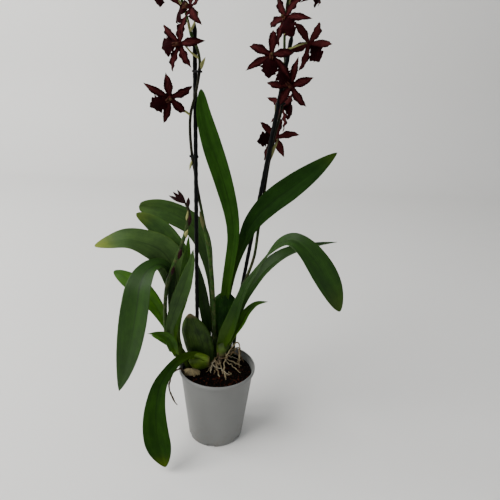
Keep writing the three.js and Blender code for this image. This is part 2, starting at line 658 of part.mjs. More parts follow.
function bloomSolid() {
  const { sepal, sepalWidth, petal, petalWidth, lateral, lateralWidth, lip, lipWidth } = BLOOM;
  const lipBlade = bladeGeometry({
    route: [[0, -0.5, 3], [0, -0.3 * lip, 6.5], [0, -0.65 * lip, 5], [0, -lip, -1]],
    faces: [[0, 0.5, 1], [0, 0, 1], [0, -0.5, 1]],
    width: lipWidth, neck: 0.2, widest: 0.52, taper: 0.8, fold: [-10, -14], wave: 1.1, waves: 2,
    thickness: PETAL_THICKNESS, steps: 4, columns: 2, tip: 1,
  });
  const hub = [
    [0, -BLOOM.neck], [BLOOM.neckRadius, -BLOOM.neck], [BLOOM.neckRadius, -2], [BLOOM.hubRadius, -0.9],
    [BLOOM.hubRadius, 1.4], [BLOOM.columnRadius, BLOOM.columnLength - 2],
    [0, BLOOM.columnLength],
  ];
  return united([
    uprightLathe(hub, 5), lipBlade,
    tepalGeometry(0, sepal, sepalWidth, 0),
    tepalGeometry(72, petal, petalWidth, 0.3),
    tepalGeometry(-72, petal, petalWidth, 0.6),
    tepalGeometry(128, lateral, lateralWidth, 0.1),
    tepalGeometry(-128, lateral, lateralWidth, 0.4),
  ]);
}

function bloomTurn({ face, top }) {
  const out = vector(face).normalize();
  const up = vector(top);
  up.addScaledVector(out, -up.dot(out)).normalize();
  const right = new THREE.Vector3().crossVectors(up, out);
  return new THREE.Quaternion().setFromRotationMatrix(new THREE.Matrix4().makeBasis(right, up, out));
}

// Spikes

function pointAtHeight(curve, z) {
  let low = 0;
  let high = 1;
  for (let i = 0; i < 30; i += 1) {
    const middle = 0.5 * (low + high);
    if (curve.getPointAt(middle).z < z) low = middle;
    else high = middle;
  }
  return curve.getPointAt(low);
}

function stalkGeometry(curve, bloom) {
  const out = vector(bloom.face).normalize();
  const end = vector(bloom.at).addScaledVector(out, -BLOOM.neck - CLEARANCE);
  const before = end.clone().addScaledVector(out, -4);
  const start = pointAtHeight(curve, bloom.stem);
  const bend = start.clone().lerp(before, 0.5);
  bend.z -= 2;
  if (bloom.via) bend.set(...bloom.via);
  return tubeGeometry([start, bend, before, end].map((p) => p.toArray()), STALK_RADIUS, 4, 3);
}

function bractGeometry([start, end, width]) {
  const middle = vector(start).lerp(vector(end), 0.5);
  middle.y -= 0.8;
  return bladeGeometry({
    route: [start, middle.toArray(), end],
    faces: [[0.2, -1, 0.1], [0.2, -1, 0.1]],
    width, neck: 0.7, widest: 0.35, taper: 0.9, fold: [-35, -25], wave: 0, waves: 1,
    thickness: PETAL_THICKNESS, steps: 2, columns: 2, tip: 0.9,
  });
}

function spikeBudGeometries(name) {
  const spikeEnd = SPIKES[name][SPIKES[name].length - 1];
  const pieces = [];
  for (const [x, y, z, length] of SPIKE_BUDS[name]) {
    const tip = [x, y, z];
    const away = vector(tip).sub(vector(spikeEnd)).normalize();
    const heel = vector(tip).addScaledVector(away, -length);
    pieces.push(spindleGeometry(heel.toArray(), tip, 0.24 * length, 5, 0.75));
    const inside = heel.clone().addScaledVector(away, 0.3 * length);
    pieces.push(tubeGeometry([spikeEnd, inside.toArray()], 1, 4, 1));
  }
  return pieces;
}

function spikeGeometry(name) {
  const route = SPIKES[name];
  const curve = routeCurve(route);
  const pieces = [tubeGeometry(route, SPIKE_RADIUS, 5, route.length)];
  for (const bract of BRACTS[name]) pieces.push(bractGeometry(bract));
  if (name === 'spike_young') {
    for (const [start, end] of YOUNG_BUDS) pieces.push(spindleGeometry(start, end, 2.6, 5, 0.9));
  } else {
    const flowers = name.replace('spike', 'bloom');
    for (const [key, bloom] of Object.entries(BLOOMS)) {
      if (key.startsWith(flowers)) pieces.push(stalkGeometry(curve, bloom));
    }
    pieces.push(...spikeBudGeometries(name));
  }
  return geometryOf(united(pieces));
}

// Ties, roots and stakes

function tieGeometry({ side, height }) {
  const stake = pointAtHeight(routeCurve(STAKES[side]), height);
  const spike = pointAtHeight(routeCurve(SPIKES[`spike_${side}`]), height);
  const reach = 0.5 * stake.distanceTo(spike);
  const outline = (radius) => {
    const shape = new THREE.Path();
    shape.absarc(reach, 0, radius, -0.5 * Math.PI, 0.5 * Math.PI, false);
    shape.absarc(-reach, 0, radius, 0.5 * Math.PI, 1.5 * Math.PI, false);
    return shape.getPoints(3);
  };
  const shape = new THREE.Shape(outline(TIE.radius + TIE.wall));
  shape.holes.push(new THREE.Path(outline(TIE.radius)));
  const geometry = new THREE.ExtrudeGeometry(shape, { depth: TIE.height, bevelEnabled: false, steps: 1 });
  geometry.translate(0, 0, -0.5 * TIE.height);
  geometry.rotateZ(Math.atan2(spike.y - stake.y, spike.x - stake.x));
  geometry.translate(...stake.lerp(spike, 0.5).toArray());
  return geometry;
}

function rootGeometries(name) {
  return ROOTS[name].map(([radius, route]) => tubeGeometry(route, radius, 5, route.length + 3));
}

// Assembly

const group = new THREE.Group();

function place(name, geometry, material, at = [0, 0, 0]) {
  const mesh = new THREE.Mesh(geometry, new THREE.MeshStandardMaterial({ metalness: 0, ...material }));
  mesh.name = name;
  mesh.position.set(...at);
  group.add(mesh);
  return mesh;
}

place('pot', potGeometry(), MATERIALS.pot);

const mixCutters = [];
for (const [side, route] of Object.entries(STAKES)) {
  place(`stake_${side}`, tubeGeometry(route, STAKE.radius, STAKE.sides, 4), MATERIALS.stake);
  mixCutters.push(tubeGeometry(route, STAKE.radius + CLEARANCE, STAKE.sides, 4));
}
for (const [name, tie] of Object.entries(TIES)) {
  place(name, tieGeometry(tie), MATERIALS.stake);
}

const rooted = {
  bulb_back: ['leaf_tall', 'leaf_upright_right'],
  bulb_young: ['leaf_over_rim'],
  shoot_left: [
    'leaf_drooping', 'leaf_back_left', 'leaf_far_left', 'leaf_second_left', 'leaf_blue_green',
    'leaf_inner_left', 'leaf_recurved', 'leaf_low_left',
  ],
  shoot_right: ['leaf_arched', 'leaf_outer_right', 'leaf_small_right'],
};
const bulbCutters = (name) => (rooted[name] ?? []).map((leaf) => leafBlade(leaf, ROOT_CLEARANCE));
const bulbColours = { bulb_young: MATERIALS.youngBulb, bulb_old: MATERIALS.oldBulb };
for (const [name, bulb] of Object.entries(BULBS)) {
  const cutters = bulbCutters(name);
  if (name === 'bulb_old') cutters.push(bulbGeometry(BULBS.bulb_young, CLEARANCE));
  place(name, carved(bulbGeometry(bulb), cutters), bulbColours[name] ?? MATERIALS.bulb);
  mixCutters.push(bulbGeometry(bulb, CLEARANCE));
}
for (const [name, rings] of Object.entries(SHOOTS)) {
  place(name, carved(taperGeometry(rings), bulbCutters(name)), MATERIALS.leaf);
}
mixCutters.push(taperGeometry(SHOOTS.shoot_left, CLEARANCE));

const rhizomeCutters = Object.values(BULBS).map((bulb) => bulbGeometry(bulb, CLEARANCE));
rhizomeCutters.push(taperGeometry(SHOOTS.shoot_right, CLEARANCE));
const rhizome = tubeGeometry(RHIZOME.route, RHIZOME.radius, 8, 8);
place('rhizome', carved(rhizome, rhizomeCutters), MATERIALS.rhizome);
mixCutters.push(tubeGeometry(RHIZOME.route, RHIZOME.radius + CLEARANCE, 8, 8));

const darkLeaves = ['leaf_tall', 'leaf_upright_right', 'leaf_inner_right', 'leaf_drooping'];
for (const name of Object.keys(LEAVES)) {
  const material = darkLeaves.includes(name) ? MATERIALS.leafDark : MATERIALS.leaf;
  place(name, leafBlade(name), material);
}
mixCutters.push(leafBlade('leaf_inner_right', CLEARANCE), leafBlade('leaf_high_left', CLEARANCE));

for (const name of Object.keys(SPIKES)) {
  const material = name === 'spike_young' ? MATERIALS.youngSpike : MATERIALS.spike;
  place(name, spikeGeometry(name), material);
}
for (const name of ['spike_left', 'spike_right']) {
  mixCutters.push(tubeGeometry(SPIKES[name].slice(0, 3), SPIKE_RADIUS + 2 * CLEARANCE, 8, 4));
}

const bloomShape = geometryOf(bloomSolid());
for (const [name, bloom] of Object.entries(BLOOMS)) {
  const mesh = place(name, bloomShape.clone(), MATERIALS.bloom, bloom.at);
  mesh.quaternion.copy(bloomTurn(bloom));
}

for (const name of Object.keys(ROOTS)) {
  place(name, geometryOf(united(rootGeometries(name))), MATERIALS.root);
}

place('potting_mix', mixGeometry(mixCutters), MATERIALS.mix);

export default group;
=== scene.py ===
"""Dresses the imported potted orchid: pot, bark mix, bulbs, leaves, flower spikes and blooms."""

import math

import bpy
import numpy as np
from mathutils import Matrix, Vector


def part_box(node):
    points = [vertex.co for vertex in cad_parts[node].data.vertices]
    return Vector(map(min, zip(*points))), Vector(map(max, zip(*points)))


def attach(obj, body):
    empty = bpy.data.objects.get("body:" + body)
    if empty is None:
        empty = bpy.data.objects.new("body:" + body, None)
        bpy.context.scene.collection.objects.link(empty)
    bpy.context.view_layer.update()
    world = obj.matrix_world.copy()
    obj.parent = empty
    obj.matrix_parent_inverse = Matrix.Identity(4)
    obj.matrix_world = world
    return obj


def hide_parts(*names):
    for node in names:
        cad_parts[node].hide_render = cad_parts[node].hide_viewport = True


bl_info = {
    "name": "Potted orchid",
    "version": (1, 0, 0),
    "blender": (4, 5, 0),
    "location": "View3D > Sidebar > Orchid",
    "description": "Builds the finished look of a potted orchid over its packed solids",
    "category": "Add Mesh",
}

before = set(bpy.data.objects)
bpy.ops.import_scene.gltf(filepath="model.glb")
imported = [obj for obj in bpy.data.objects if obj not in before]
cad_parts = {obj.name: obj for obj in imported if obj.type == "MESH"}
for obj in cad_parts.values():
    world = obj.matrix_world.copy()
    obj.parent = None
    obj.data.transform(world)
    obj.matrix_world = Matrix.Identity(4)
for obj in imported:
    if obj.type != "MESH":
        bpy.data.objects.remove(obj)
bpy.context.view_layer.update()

MM = 0.001

# Places and forms, in millimetres, close to those of the solids

POT_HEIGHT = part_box("pot")[1][2] / MM
RIM_RADIUS = 60.0
WALL_FOOT = 43.2  # the pot wall's outer radius at its foot
WALL_TOP = 57.2  # and under the rim
DRAINS = 6

MIX_FLOOR = 5.8  # height of the mix's underside
MIX_EDGE = 113.5  # height of its top along the wall
MIX_TOP = 115.0  # and further in
CHIP_GROUND = 114.4  # middling height of the loose chips
HILLS = (9.0, 0.7)  # scale and seed of the mix's widest lumps, which the chips follow

# Each leaf has a route, the points along its middle from foot to tip, and faces, the ways that its
# upper side looks from foot to tip. width is in millimetres, and neck and foot are shares of it.
# hold and widest say how far along its narrow part ends and its widest place is, taper how
# pointed its tip is, and pinch how much its foot closes. fold is its V in degrees, at the foot and
# then further out. wave is how high its edges wave, and waves how often. look is its finish,
# pale_to how far up its pale foot reaches, pale how pale that is, and ripe how yellow its tip is.
LEAVES = {
    "leaf_tall": dict(
        route=[(8, 44, 222), (10, 43, 250), (13.5, 40, 285), (17, 37, 327), (13, 33, 366),
               (0, 26, 416), (-16, 18, 466), (-27, 13, 506), (-31, 10, 539)],
        faces=[(-0.3, -1, 0), (0, -1, 0.1), (0.1, -1, 0.2)],
        width=28, neck=0.62, hold=0.22, widest=0.72, taper=0.52, fold=(34, 12), wave=0.9,
        waves=1.6, look="bright", pale_to=0.35, pale=0.4),
    "leaf_upright_right": dict(
        route=[(12, 51, 220), (19, 52, 260), (30, 50, 307), (44, 44, 347), (69, 34, 382),
               (98, 21, 411), (126, 5, 440), (151, -12, 469)],
        faces=[(-0.3, -1, 0), (-0.5, -1, 0.5), (-0.3, -1, 0.5)],
        width=37, neck=0.26, hold=0.1, widest=0.66, taper=0.7, fold=(34, 10), wave=1.1, waves=1.4,
        look="deep", pale_to=0.4, ripe=0.05),
    "leaf_arched": dict(
        route=[(6, 20, 148), (18, 19, 182), (24, 18, 202), (31.5, 15.5, 230), (40, 11, 258),
               (56, 3, 291), (71, -7, 321), (87, -17, 342), (102, -28, 349.5), (119, -38, 341),
               (137, -48, 321), (155, -57, 294), (170, -62, 262)],
        faces=[(-0.35, -1, 0.1), (-0.7, -0.6, 0.5), (-0.1, -0.15, 1), (0.5, -1, 0.5),
               (0.4, -1, 0.1)],
        width=38.5, foot=0.72, neck=0.36, hold=0.53, widest=0.83, taper=0.62, pinch=0.4,
        fold=(30, 10), wave=0.9, waves=1.3, look="dark", pale_to=0.2, ripe=0.08),
    "leaf_outer_right": dict(
        route=[(10, 26.5, 150), (26, 31, 190), (45, 34, 236), (66, 39, 270), (93, 45, 294),
               (122, 52, 306), (151, 58, 313), (178, 62, 318)],
        faces=[(-0.3, -1, 0.3), (-0.2, -0.3, 1), (0, 0, 1)],
        width=29, foot=0.7, neck=0.44, hold=0.3, widest=0.6, taper=0.8, fold=(38, 24), wave=0.9,
        waves=1.5, look="dark", pale_to=0.2),
    "leaf_small_right": dict(
        route=[(18, 15, 155), (27, 15, 176), (36, 15.5, 194), (44, 18.5, 211), (57, 25, 222),
               (75, 28, 226)],
        faces=[(-0.7, -0.6, 0.5), (-0.1, -0.5, 1)],
        width=17, neck=0.6, hold=0, widest=0.4, taper=0.85, fold=(35, 20), wave=0.3, waves=1,
        look="fresh", pale_to=0.5),
    "leaf_inner_right": dict(
        route=[(-15, 40, 111), (-18.5, 41.5, 144), (-22.5, 42.3, 180), (-27.5, 43.2, 214),
               (-33.5, 43.8, 250), (-40.5, 44, 286.5)],
        faces=[(0.3, -1, 0), (0.2, -1, 0.2)],
        width=19, neck=0.5, hold=0.1, widest=0.55, taper=0.8, fold=(38, 24), wave=0.5, waves=1,
        look="dark"),
    "leaf_drooping": dict(
        route=[(-61, 4, 142), (-68, 4.5, 170), (-72, 4.5, 200), (-73, 3, 232), (-71.5, -1, 262),
               (-73, -8, 288), (-86, -19, 300), (-99, -36, 296), (-105, -54, 280),
               (-108, -65, 251), (-114, -73, 212), (-124, -77, 167), (-135, -78, 125)],
        faces=[(0.5, -0.9, 0), (0.4, -0.8, 0.3), (-0.1, -0.3, 1), (-0.4, -1, 0.5), (-0.3, -1, 0)],
        width=46, neck=0.2, hold=0.25, widest=0.68, taper=0.8, fold=(34, 14), wave=1.2, waves=1.6,
        look="dark"),
    "leaf_back_left": dict(
        route=[(-60, 14, 139), (-74, 18, 162), (-89, 22, 192), (-105, 26, 217), (-128, 31, 240),
               (-150, 36, 252), (-168, 41, 259)],
        faces=[(0.2, -1, 0.2), (0.1, -1, 0.5)],
        width=30, neck=0.3, hold=0.1, widest=0.7, taper=0.55, fold=(35, 14), wave=0.8, waves=1.2,
        look="fresh"),
    "leaf_far_left": dict(
        route=[(-59, 8.3, 140), (-66, 9, 170), (-66.5, 10.5, 200), (-64.5, 11.2, 232),
               (-65, 10.5, 262), (-72, 9, 291), (-86, 6, 311), (-105, 0, 323), (-130, -8, 331),
               (-155, -15, 328), (-175, -20, 324)],
        faces=[(0.3, -1, 0), (0.3, -1, 0.3), (0, -1, 0.7), (0, -0.25, 1)],
        width=46, neck=0.17, hold=0.15, widest=0.58, taper=0.5, fold=(34, 10), wave=3.4, waves=2.4,
        look="soft", ripe=0.65),
    "leaf_high_left": dict(
        route=[(-9, 49, 111), (-12, 53, 157), (-16, 55, 220), (-21.5, 56, 270), (-30.5, 57, 308),
               (-44.6, 58, 333), (-63.7, 57, 347), (-93, 54, 359), (-127, 50, 364)],
        faces=[(0.3, -1, 0), (0.3, -1, 0.1), (0, -1, 0.5), (0, -1, 0.4)],
        width=35, neck=0.2, hold=0.34, widest=0.8, taper=0.36, fold=(38, 12), wave=1.0, waves=1.4,
        look="mid", pale_to=0.5, ripe=0.06),
    "leaf_second_left": dict(
        route=[(-57.5, 12, 138), (-63.5, 13, 168), (-61, 14.5, 200), (-55.5, 16.5, 232),
               (-53, 18.5, 260), (-58, 20.5, 291), (-71, 23, 313), (-86, 25, 333), (-104, 25, 348),
               (-125, 23, 361)],
        faces=[(0.3, -1, 0), (0.2, -1, 0.3), (0, -1, 0.7)],
        width=33, neck=0.21, hold=0.2, widest=0.7, taper=0.5, fold=(34, 14), wave=1.0, waves=1.6,
        look="mid", ripe=0.25),
    "leaf_blue_green": dict(
        route=[(-64, -5, 147), (-70, -9, 170), (-72, -12, 192), (-66, -15, 218), (-57, -19, 246),
               (-47, -22, 275), (-39, -23, 305), (-36, -22, 327)],
        faces=[(0.2, -1, 0), (-0.1, -1, 0.2), (-0.1, -1, 0.4)],
        width=22, neck=0.4, hold=0.05, widest=0.6, taper=0.8, fold=(30, 14), wave=0.5, waves=1.2,
        look="mid"),
    "leaf_inner_left": dict(
        route=[(-62, -1, 144), (-67, -2, 170), (-64, -4, 200), (-56, -6.5, 235), (-50, -9, 270),
               (-47, -9.5, 305), (-44, -9, 343)],
        faces=[(0.2, -1, 0), (0.2, -1, 0.2)],
        width=19, neck=0.4, hold=0.1, widest=0.6, taper=0.9, fold=(30, 20), wave=0.4, waves=1.2,
        look="fresh"),
    "leaf_recurved": dict(
        route=[(-63.5, -8.5, 145), (-68.5, -14, 167), (-75, -18.5, 181), (-88, -24, 189),
               (-102, -30, 193)],
        faces=[(0.3, -1, 0.3), (0, -0.7, 0.9)],
        width=17, neck=0.55, hold=0, widest=0.4, taper=1.0, fold=(30, 24), wave=0.3, waves=1,
        look="fresh"),
    "leaf_low_left": dict(
        route=[(-66.5, 7, 144.5), (-73, 6, 152), (-81, 5, 160), (-91, 4.5, 166), (-104, 5, 169)],
        faces=[(0, -1, 0.3), (0, -1, 0.6)],
        width=11, neck=0.6, hold=0, widest=0.5, taper=0.75, fold=(22, 12), wave=0.2, waves=1,
        look="fresh"),
    "leaf_over_rim": dict(
        route=[(-22, -1, 134), (-29, -3, 138.5), (-37, -7, 142), (-47, -14.5, 144.5),
               (-58, -27, 144.5), (-69, -43, 138), (-79, -60, 124), (-82, -77, 101),
               (-80, -90, 71), (-74, -98, 42), (-66, -103, 13)],
        faces=[(-0.4, -0.3, 1), (-0.2, -0.6, 1), (-0.3, -1, 0.8), (-0.2, -1, 0.2)],
        width=41, neck=0.4, hold=0.2, widest=0.8, taper=0.7, fold=(34, 12), wave=1.4, waves=1.7,
        look="shaded", pale_to=0.3, pale=1.8, ripe=0.15),
}

DULL_LEAVES = ("deep", "shaded", "bright")  # finishes with less gloss

# Each bulb has its foot, how far its top leans, its height, and its full width across and through.
# waist is the share of that width at its foot, and widest how far up it is full. A higher
# shoulder is squarer. rib and wrinkle are the depths of its ribs and wrinkles.
BULB_RIBS = 7
NO_SCAR = 1.2  # a scar that starts past a bulb's top
BULBS = {
    "bulb_front": dict(
        foot=(-24, 20.2, 108), lean=(-22, 2.6), height=92, across=48, through=18, waist=0.62,
        widest=0.45, shoulder=1.8, rib=0.03, wrinkle=1.1),
    "bulb_back": dict(
        foot=(5, 38, 108), lean=(2, 10), height=122, across=39, through=17, waist=0.3, widest=0.78,
        shoulder=2, rib=0, wrinkle=0.12),
    "bulb_young": dict(
        foot=(-12.5, 1, 129), lean=(2.5, -5), height=32, across=28, through=20, waist=0.55,
        widest=0.55, shoulder=1.5, rib=0, wrinkle=0.25, lying=True),
    "bulb_old": dict(
        foot=(-38, -12, 106), lean=(-2, 0), height=17, across=29, through=17, waist=0.62,
        widest=0.6, shoulder=1.5, rib=0.04, wrinkle=0.9),
}

# Stations of each shoot, from its foot: a place, and how wide and how deep it is there
SHOOTS = {
    "shoot_left": [
        ((-47, 7, 109), 11, 10), ((-48.5, 5.5, 125.5), 11, 20), ((-60.5, 3.5, 143), 15, 27),
        ((-66, 2.5, 156), 13, 25)],
    "shoot_right": [
        ((5, 15, 134), 14, 12), ((6.5, 18.5, 143), 19, 14), ((10, 24.5, 156), 25, 9),
        ((13, 25.5, 167), 28, 7)],
}
RHIZOME = [(-30, 9, 112), (-12, 9, 113), (0, 11, 118), (5, 13, 132)]

# Points from foot to tip. The stakes have the solids' own points, so that they stay as straight.
STAKES = {
    "left": [
        (-30, 29, 32), (-35.9, 34.5, 177), (-38.2, 34.5, 324), (-40.4, 34.3, 471),
        (-42.6, 34.2, 618)],
    "right": [
        (11.5, 45.8, 88), (30.1, 49.8, 218), (48.3, 50.3, 349), (66.6, 50.6, 479),
        (84.8, 50.9, 610)],
}
SPIKES = {
    "spike_left": [
        (-5, 31.5, 104), (-7, 32.5, 150), (-11, 31, 223), (-15, 31, 277), (-22, 33, 322),
        (-30, 36, 361), (-37, 39.9, 393), (-41.5, 39.9, 421), (-45.5, 37, 446), (-48, 33, 480),
        (-46.5, 29, 506), (-41, 27, 527), (-36, 27, 553), (-35, 27.5, 574), (-39, 27, 590),
        (-46, 28, 604), (-51, 30, 621), (-57, 30, 640), (-66, 30, 662), (-74, 30, 687),
        (-80, 30, 712)],
    "spike_right": [
        (21, 34, 104), (26, 36.5, 160), (29, 41.5, 200), (31, 43.6, 235), (40, 39, 261),
        (50, 42, 296), (54, 46, 337), (57, 50, 368), (60, 53, 395), (62.5, 54.5, 422),
        (65.5, 55.8, 447), (70.5, 56, 479), (77, 56, 510), (80, 56.5, 540), (79, 56.5, 569),
        (76, 56, 595), (75, 54, 618), (76, 52, 646), (78, 50, 672), (81, 48, 697), (85, 46, 721)],
    "spike_young": [
        (-71.6, -4, 149), (-76, -4.5, 161), (-79, -5, 180), (-80, -5, 205), (-79, -8, 235),
        (-75, -13.5, 266), (-66, -18, 296), (-55, -19, 325), (-47, -21, 352), (-42, -22, 378),
        (-46, -24, 394)],
}

# Each spike's stem swells at its foot, and less between the heights of swell_ends. fresh is how
# green it is low down and high up, and shaded_first_bract how pale its first bract is: lower than
# on the other bracts, to paint the shade that it lies in.
STEMS = {
    "spike_left": dict(swell=0.4, swell_ends=(320, 350), fresh=(0.85, 0.7), shaded_first_bract=0.3),
    "spike_right": dict(swell=0, swell_ends=(320, 350), fresh=(0.3, 0.6), shaded_first_bract=0.5),
    "spike_young": dict(swell=0.3, swell_ends=(400, 410), fresh=(0.6, 0), shaded_first_bract=0.5),
}

# Each tie's side and height
TIES = {"tie_left_low": ("left", 446), "tie_left_high": ("left", 560), "tie_right": ("right", 522)}

# Each bloom's middle, the way its face looks, the way to its upper tepal, and the height at
# which its stalk leaves the spike
BLOOMS = {
    "bloom_left_1": dict(at=(-72, 11, 526), face=(0.3, -0.93, -0.2), top=(0.86, 0.25, 0.45),
                         stem=503),
    "bloom_left_2": dict(at=(-59, 15, 592), face=(-0.4, -0.9, 0.05), top=(0.93, -0.3, 0.2),
                         stem=576),
    "bloom_left_3": dict(at=(-42.3, -7.2, 632.5), face=(-0.69, -0.55, 0.47),
                         top=(0.72, -0.42, 0.55), stem=608),
    "bloom_left_4": dict(at=(-77, 10, 661), face=(-0.6, -0.9, 0.2), top=(0.3, 0.2, 1), stem=634),
    "bloom_left_5": dict(at=(-46, 27, 689), face=(0.7, -0.8, 0.1), top=(0.1, 0, 1), stem=652),
    "bloom_right_1": dict(at=(73, 72, 472), face=(-0.2, 0.95, 0.2), top=(0.98, 0.15, 0.2),
                          stem=440),
    "bloom_right_2": dict(at=(78.5, 80, 516), face=(0.84, 0.54, 0), top=(-0.52, 0.8, 0.3),
                          stem=486),
    "bloom_right_3": dict(at=(87, 31, 547), face=(-0.33, -0.94, -0.1), top=(0.62, -0.14, -0.78),
                          stem=531),
    "bloom_right_4": dict(at=(58, 18, 584), face=(0.07, -0.97, 0.25), top=(0.07, 0.25, 0.96),
                          stem=574),
    "bloom_right_5": dict(at=(107.3, 44, 601), face=(0.56, 0.83, 0.03), top=(-0.54, 0.34, 0.77),
                          stem=588, via=(77.5, 45, 591)),
    "bloom_right_6": dict(at=(74, 32, 630), face=(-0.67, -0.72, 0.17), top=(-0.36, 0.52, 0.77),
                          stem=610),
    "bloom_right_7": dict(at=(107, 49, 672), face=(0.85, -0.45, 0.2), top=(0, 0, 1), stem=640),
    "bloom_right_8": dict(at=(57, 36, 682), face=(-0.5, -0.9, 0.1), top=(0.1, 0, 1), stem=660),
}

# Angle, length and width of each tepal, seen from the front, and the lip's form
TEPALS = [(0, 34, 11.5), (72, 31, 12), (-72, 31, 12), (128, 37, 10.2), (-128, 37, 10.2)]
LIP = dict(
    route=[(0, -0.5, 3), (0, -8.7, 6.5), (0, -18.9, 5), (0, -29, -1)],
    faces=[(0, 0.5, 1), (0, 0, 1), (0, -0.5, 1)],
    width=24, neck=0.2, hold=0, widest=0.52, taper=0.8, fold=(-10, -14), wave=2.0, waves=2.6)

# The column's radii at shares of its length, and the points and radii of one of its two ears
COLUMN = ([0, 0.3, 0.45, 0.6, 0.85, 1], [1.5, 1.6, 3.2, 2.8, 2.2, 1.2])
EAR = [(1.2, -1.5, 3.5), (1.6, -4, 6.6), (1.2, -7, 7.6)]
EAR_SHARES = [0, 0.35, 0.75, 1]
EAR_RADII = [1.1, 1.3, 1.0, 0.6]

# Tips and lengths of the last buds on the tall spikes
SPIKE_BUDS = {
    "spike_left": [(-86, 24, 712, 13), (-72, 25, 728, 11), (-84, 30, 731, 9)],
    "spike_right": [(76, 40, 716, 13), (94, 44, 730, 11), (85, 46, 741, 9)],
}

# Foot, tip and radius of each bud on the young spike
YOUNG_BUDS = [
    ((-46, -24, 393), (-69, -26, 404), 2.7), ((-46, -24, 393), (-63, -28, 410), 2.7),
    ((-46, -24, 393), (-57, -27, 413), 2.7), ((-44, -22, 386), (-42, -26, 403), 2.7),
    ((-42, -22.5, 361), (-40, -23.5, 379), 2.7), ((-57, -21, 310), (-52.5, -22, 328), 2.9),
    ((-67.5, -18.5, 284), (-63.5, -20, 300), 2.6),
]

# Foot, tip and width of each bract
BRACTS = {
    "spike_left": [
        ((-25, 34, 335), (-34, 31, 368), 7), ((-45.3, 36.5, 440), (-49, 33, 426), 4),
        ((-36, 27.5, 560), (-27, 24, 578), 6), ((-46, 28, 604), (-51, 25, 622), 4),
        ((-66, 30, 662), (-60, 27, 677), 4)],
    "spike_right": [
        ((65.5, 55.8, 445), (73, 53.5, 468), 7), ((79, 56, 545), (85, 54, 560), 5),
        ((75, 54, 618), (66, 50, 633), 6), ((76, 52, 646), (84, 49, 657), 5),
        ((81, 48, 697), (75, 46, 708), 4)],
    "spike_young": [
        ((-72, -14, 276), (-60, -19, 312), 7), ((-50, -20, 340), (-43, -25, 357), 7),
        ((-44, -21, 366), (-43, -25, 384), 6)],
}

# Each root's radius and the points along it
ROOTS = {
    "roots_front": [
        (1.3, [(-5, 5, 129.5), (-1, 2.5, 128), (4, -1, 125)]),
        (1.3, [(-4, 4, 129), (-7.5, 0, 126), (-9, -5.5, 121), (-9, -11.5, 116.6)]),
        (1.3, [(-2.5, 3, 128), (-1, -2, 123.5), (2, -9, 118.5), (6, -21, 116.5)])],
    "roots_right": [
        (1.4, [(14, 9, 137), (12.5, 6, 131), (11, 0, 124), (12, -10, 118.5), (15.5, -27, 116.6)]),
        (1.3, [(13, 8, 134), (20, 9.5, 127), (29, 11, 121), (39, 12, 116.6)]),
        (1.3, [(13, 8.5, 136), (22, 12, 149), (29, 15, 158.5), (33.5, 15, 152), (34, 10, 134),
               (35, 7, 116.4)])],
    "root_outside": [
        (1.3, [(-49, -18.5, 121), (-56, -22.5, 130), (-65, -28, 125), (-70.5, -34, 108),
               (-67, -36, 89), (-58, -37, 73)])],
}

# Finer roots that come with them
FINE_ROOTS = {
    "roots_front": [
        (0.9, [(2, 14, 140), (-2, 11, 133), (-7, 5, 127), (-10, -1, 121), (-13, -6, 116.5)]),
        (0.8, [(1, 4, 128), (0, 0, 123), (-3, -6, 119), (-4, -14, 116.4)]),
        (1.1, [(3, 6, 128), (6, 1, 124), (8, -6, 119), (10, -12, 116.2)]),
        (0.7, [(-3, 5, 129), (-10, 3.5, 126), (-12, -3, 119), (-17, -10, 116.3)]),
        (0.8, [(-9, 1, 127), (-3, -4, 123), (6, -6, 121), (15, -11, 118), (22, -14, 116.4)])],
    "roots_right": [
        (1.2, [(12, 11, 136), (20, 14, 138), (30, 18, 134), (38, 22, 125), (42, 22, 116.6)]),
        (0.8, [(13, 10, 135), (24, 13, 145), (31, 16, 148), (36, 17, 140), (33, 14, 126),
               (28, 10, 117)]),
        (0.9, [(12, 9, 133), (18, 5, 125), (27, 3, 119), (34, -2, 116.6), (38, -7, 116.3)]),
        (0.9, [(18, -6, 116.2), (21, -8.5, 117.2), (23, -12, 117.6), (21, -15, 117.6),
               (17.5, -15.5, 117.2), (15.6, -12.5, 116.8), (17.5, -9.5, 116.2)]),
        (0.7, [(12, 12, 138), (16, 15, 132), (24, 21, 126), (33, 25, 119), (37, 31, 116.3)]),
        (0.9, [(5, 8, 131), (13, 4, 134), (22, 8, 141), (30, 13, 149), (35, 16, 147),
               (33, 20, 138)])],
}

# The stage, in metres, degrees, millimetres of lens and watts

CAMERA_AT = (0.043, -0.671, 0.582)
CAMERA_PITCH = 21.2
CAMERA_ROLL = 2.8
CAMERA_LENS = 36.0
CAMERA_SENSOR = 36.0
AMBIENT_TINT = (0.93, 0.96, 1.0)
AMBIENT_STRENGTH = 0.41
FLOOR_GAP = 0.0002  # how far the floor lies under the pot
FLOOR_REACH = 4.0  # to each side
FLOOR_FRONT = -3.2
SWEEP_START = 1.62  # where the floor starts to rise
SWEEP = 0.5  # radius of its rise
BACKDROP_TOP = 4.0

# Each lamp's name, place, aim, size, power and tint
LAMPS = (
    ("key light", (-1.6, -0.9, 2.1), (-0.1, 0.25, 0.25), 1.8, 101.0, (1.0, 0.99, 0.97)),
    ("back light", (-2.0, 0.5, 1.5), (-0.9, 1.7, 0.4), 1.2, 31.0, (1.0, 1.0, 0.99)),
    ("fill light", (1.9, -1.2, 1.2), (0.0, 0.0, 0.3), 1.6, 5.0, (0.94, 0.97, 1.0)),
)


def tone(*levels):
    """A screen colour, 0 to 255, as the linear colour that a shader takes."""
    shares = [level / 255 for level in levels]
    return tuple(share / 12.92 if share <= 0.04045 else ((share + 0.055) / 1.055) ** 2.4
                 for share in shares)


def shaded(colour, *shares):
    """A colour times one share, or times a share for each of its channels."""
    if len(shares) == 1:
        shares = shares * len(colour)
    return [share * level for share, level in zip(shares, colour)]


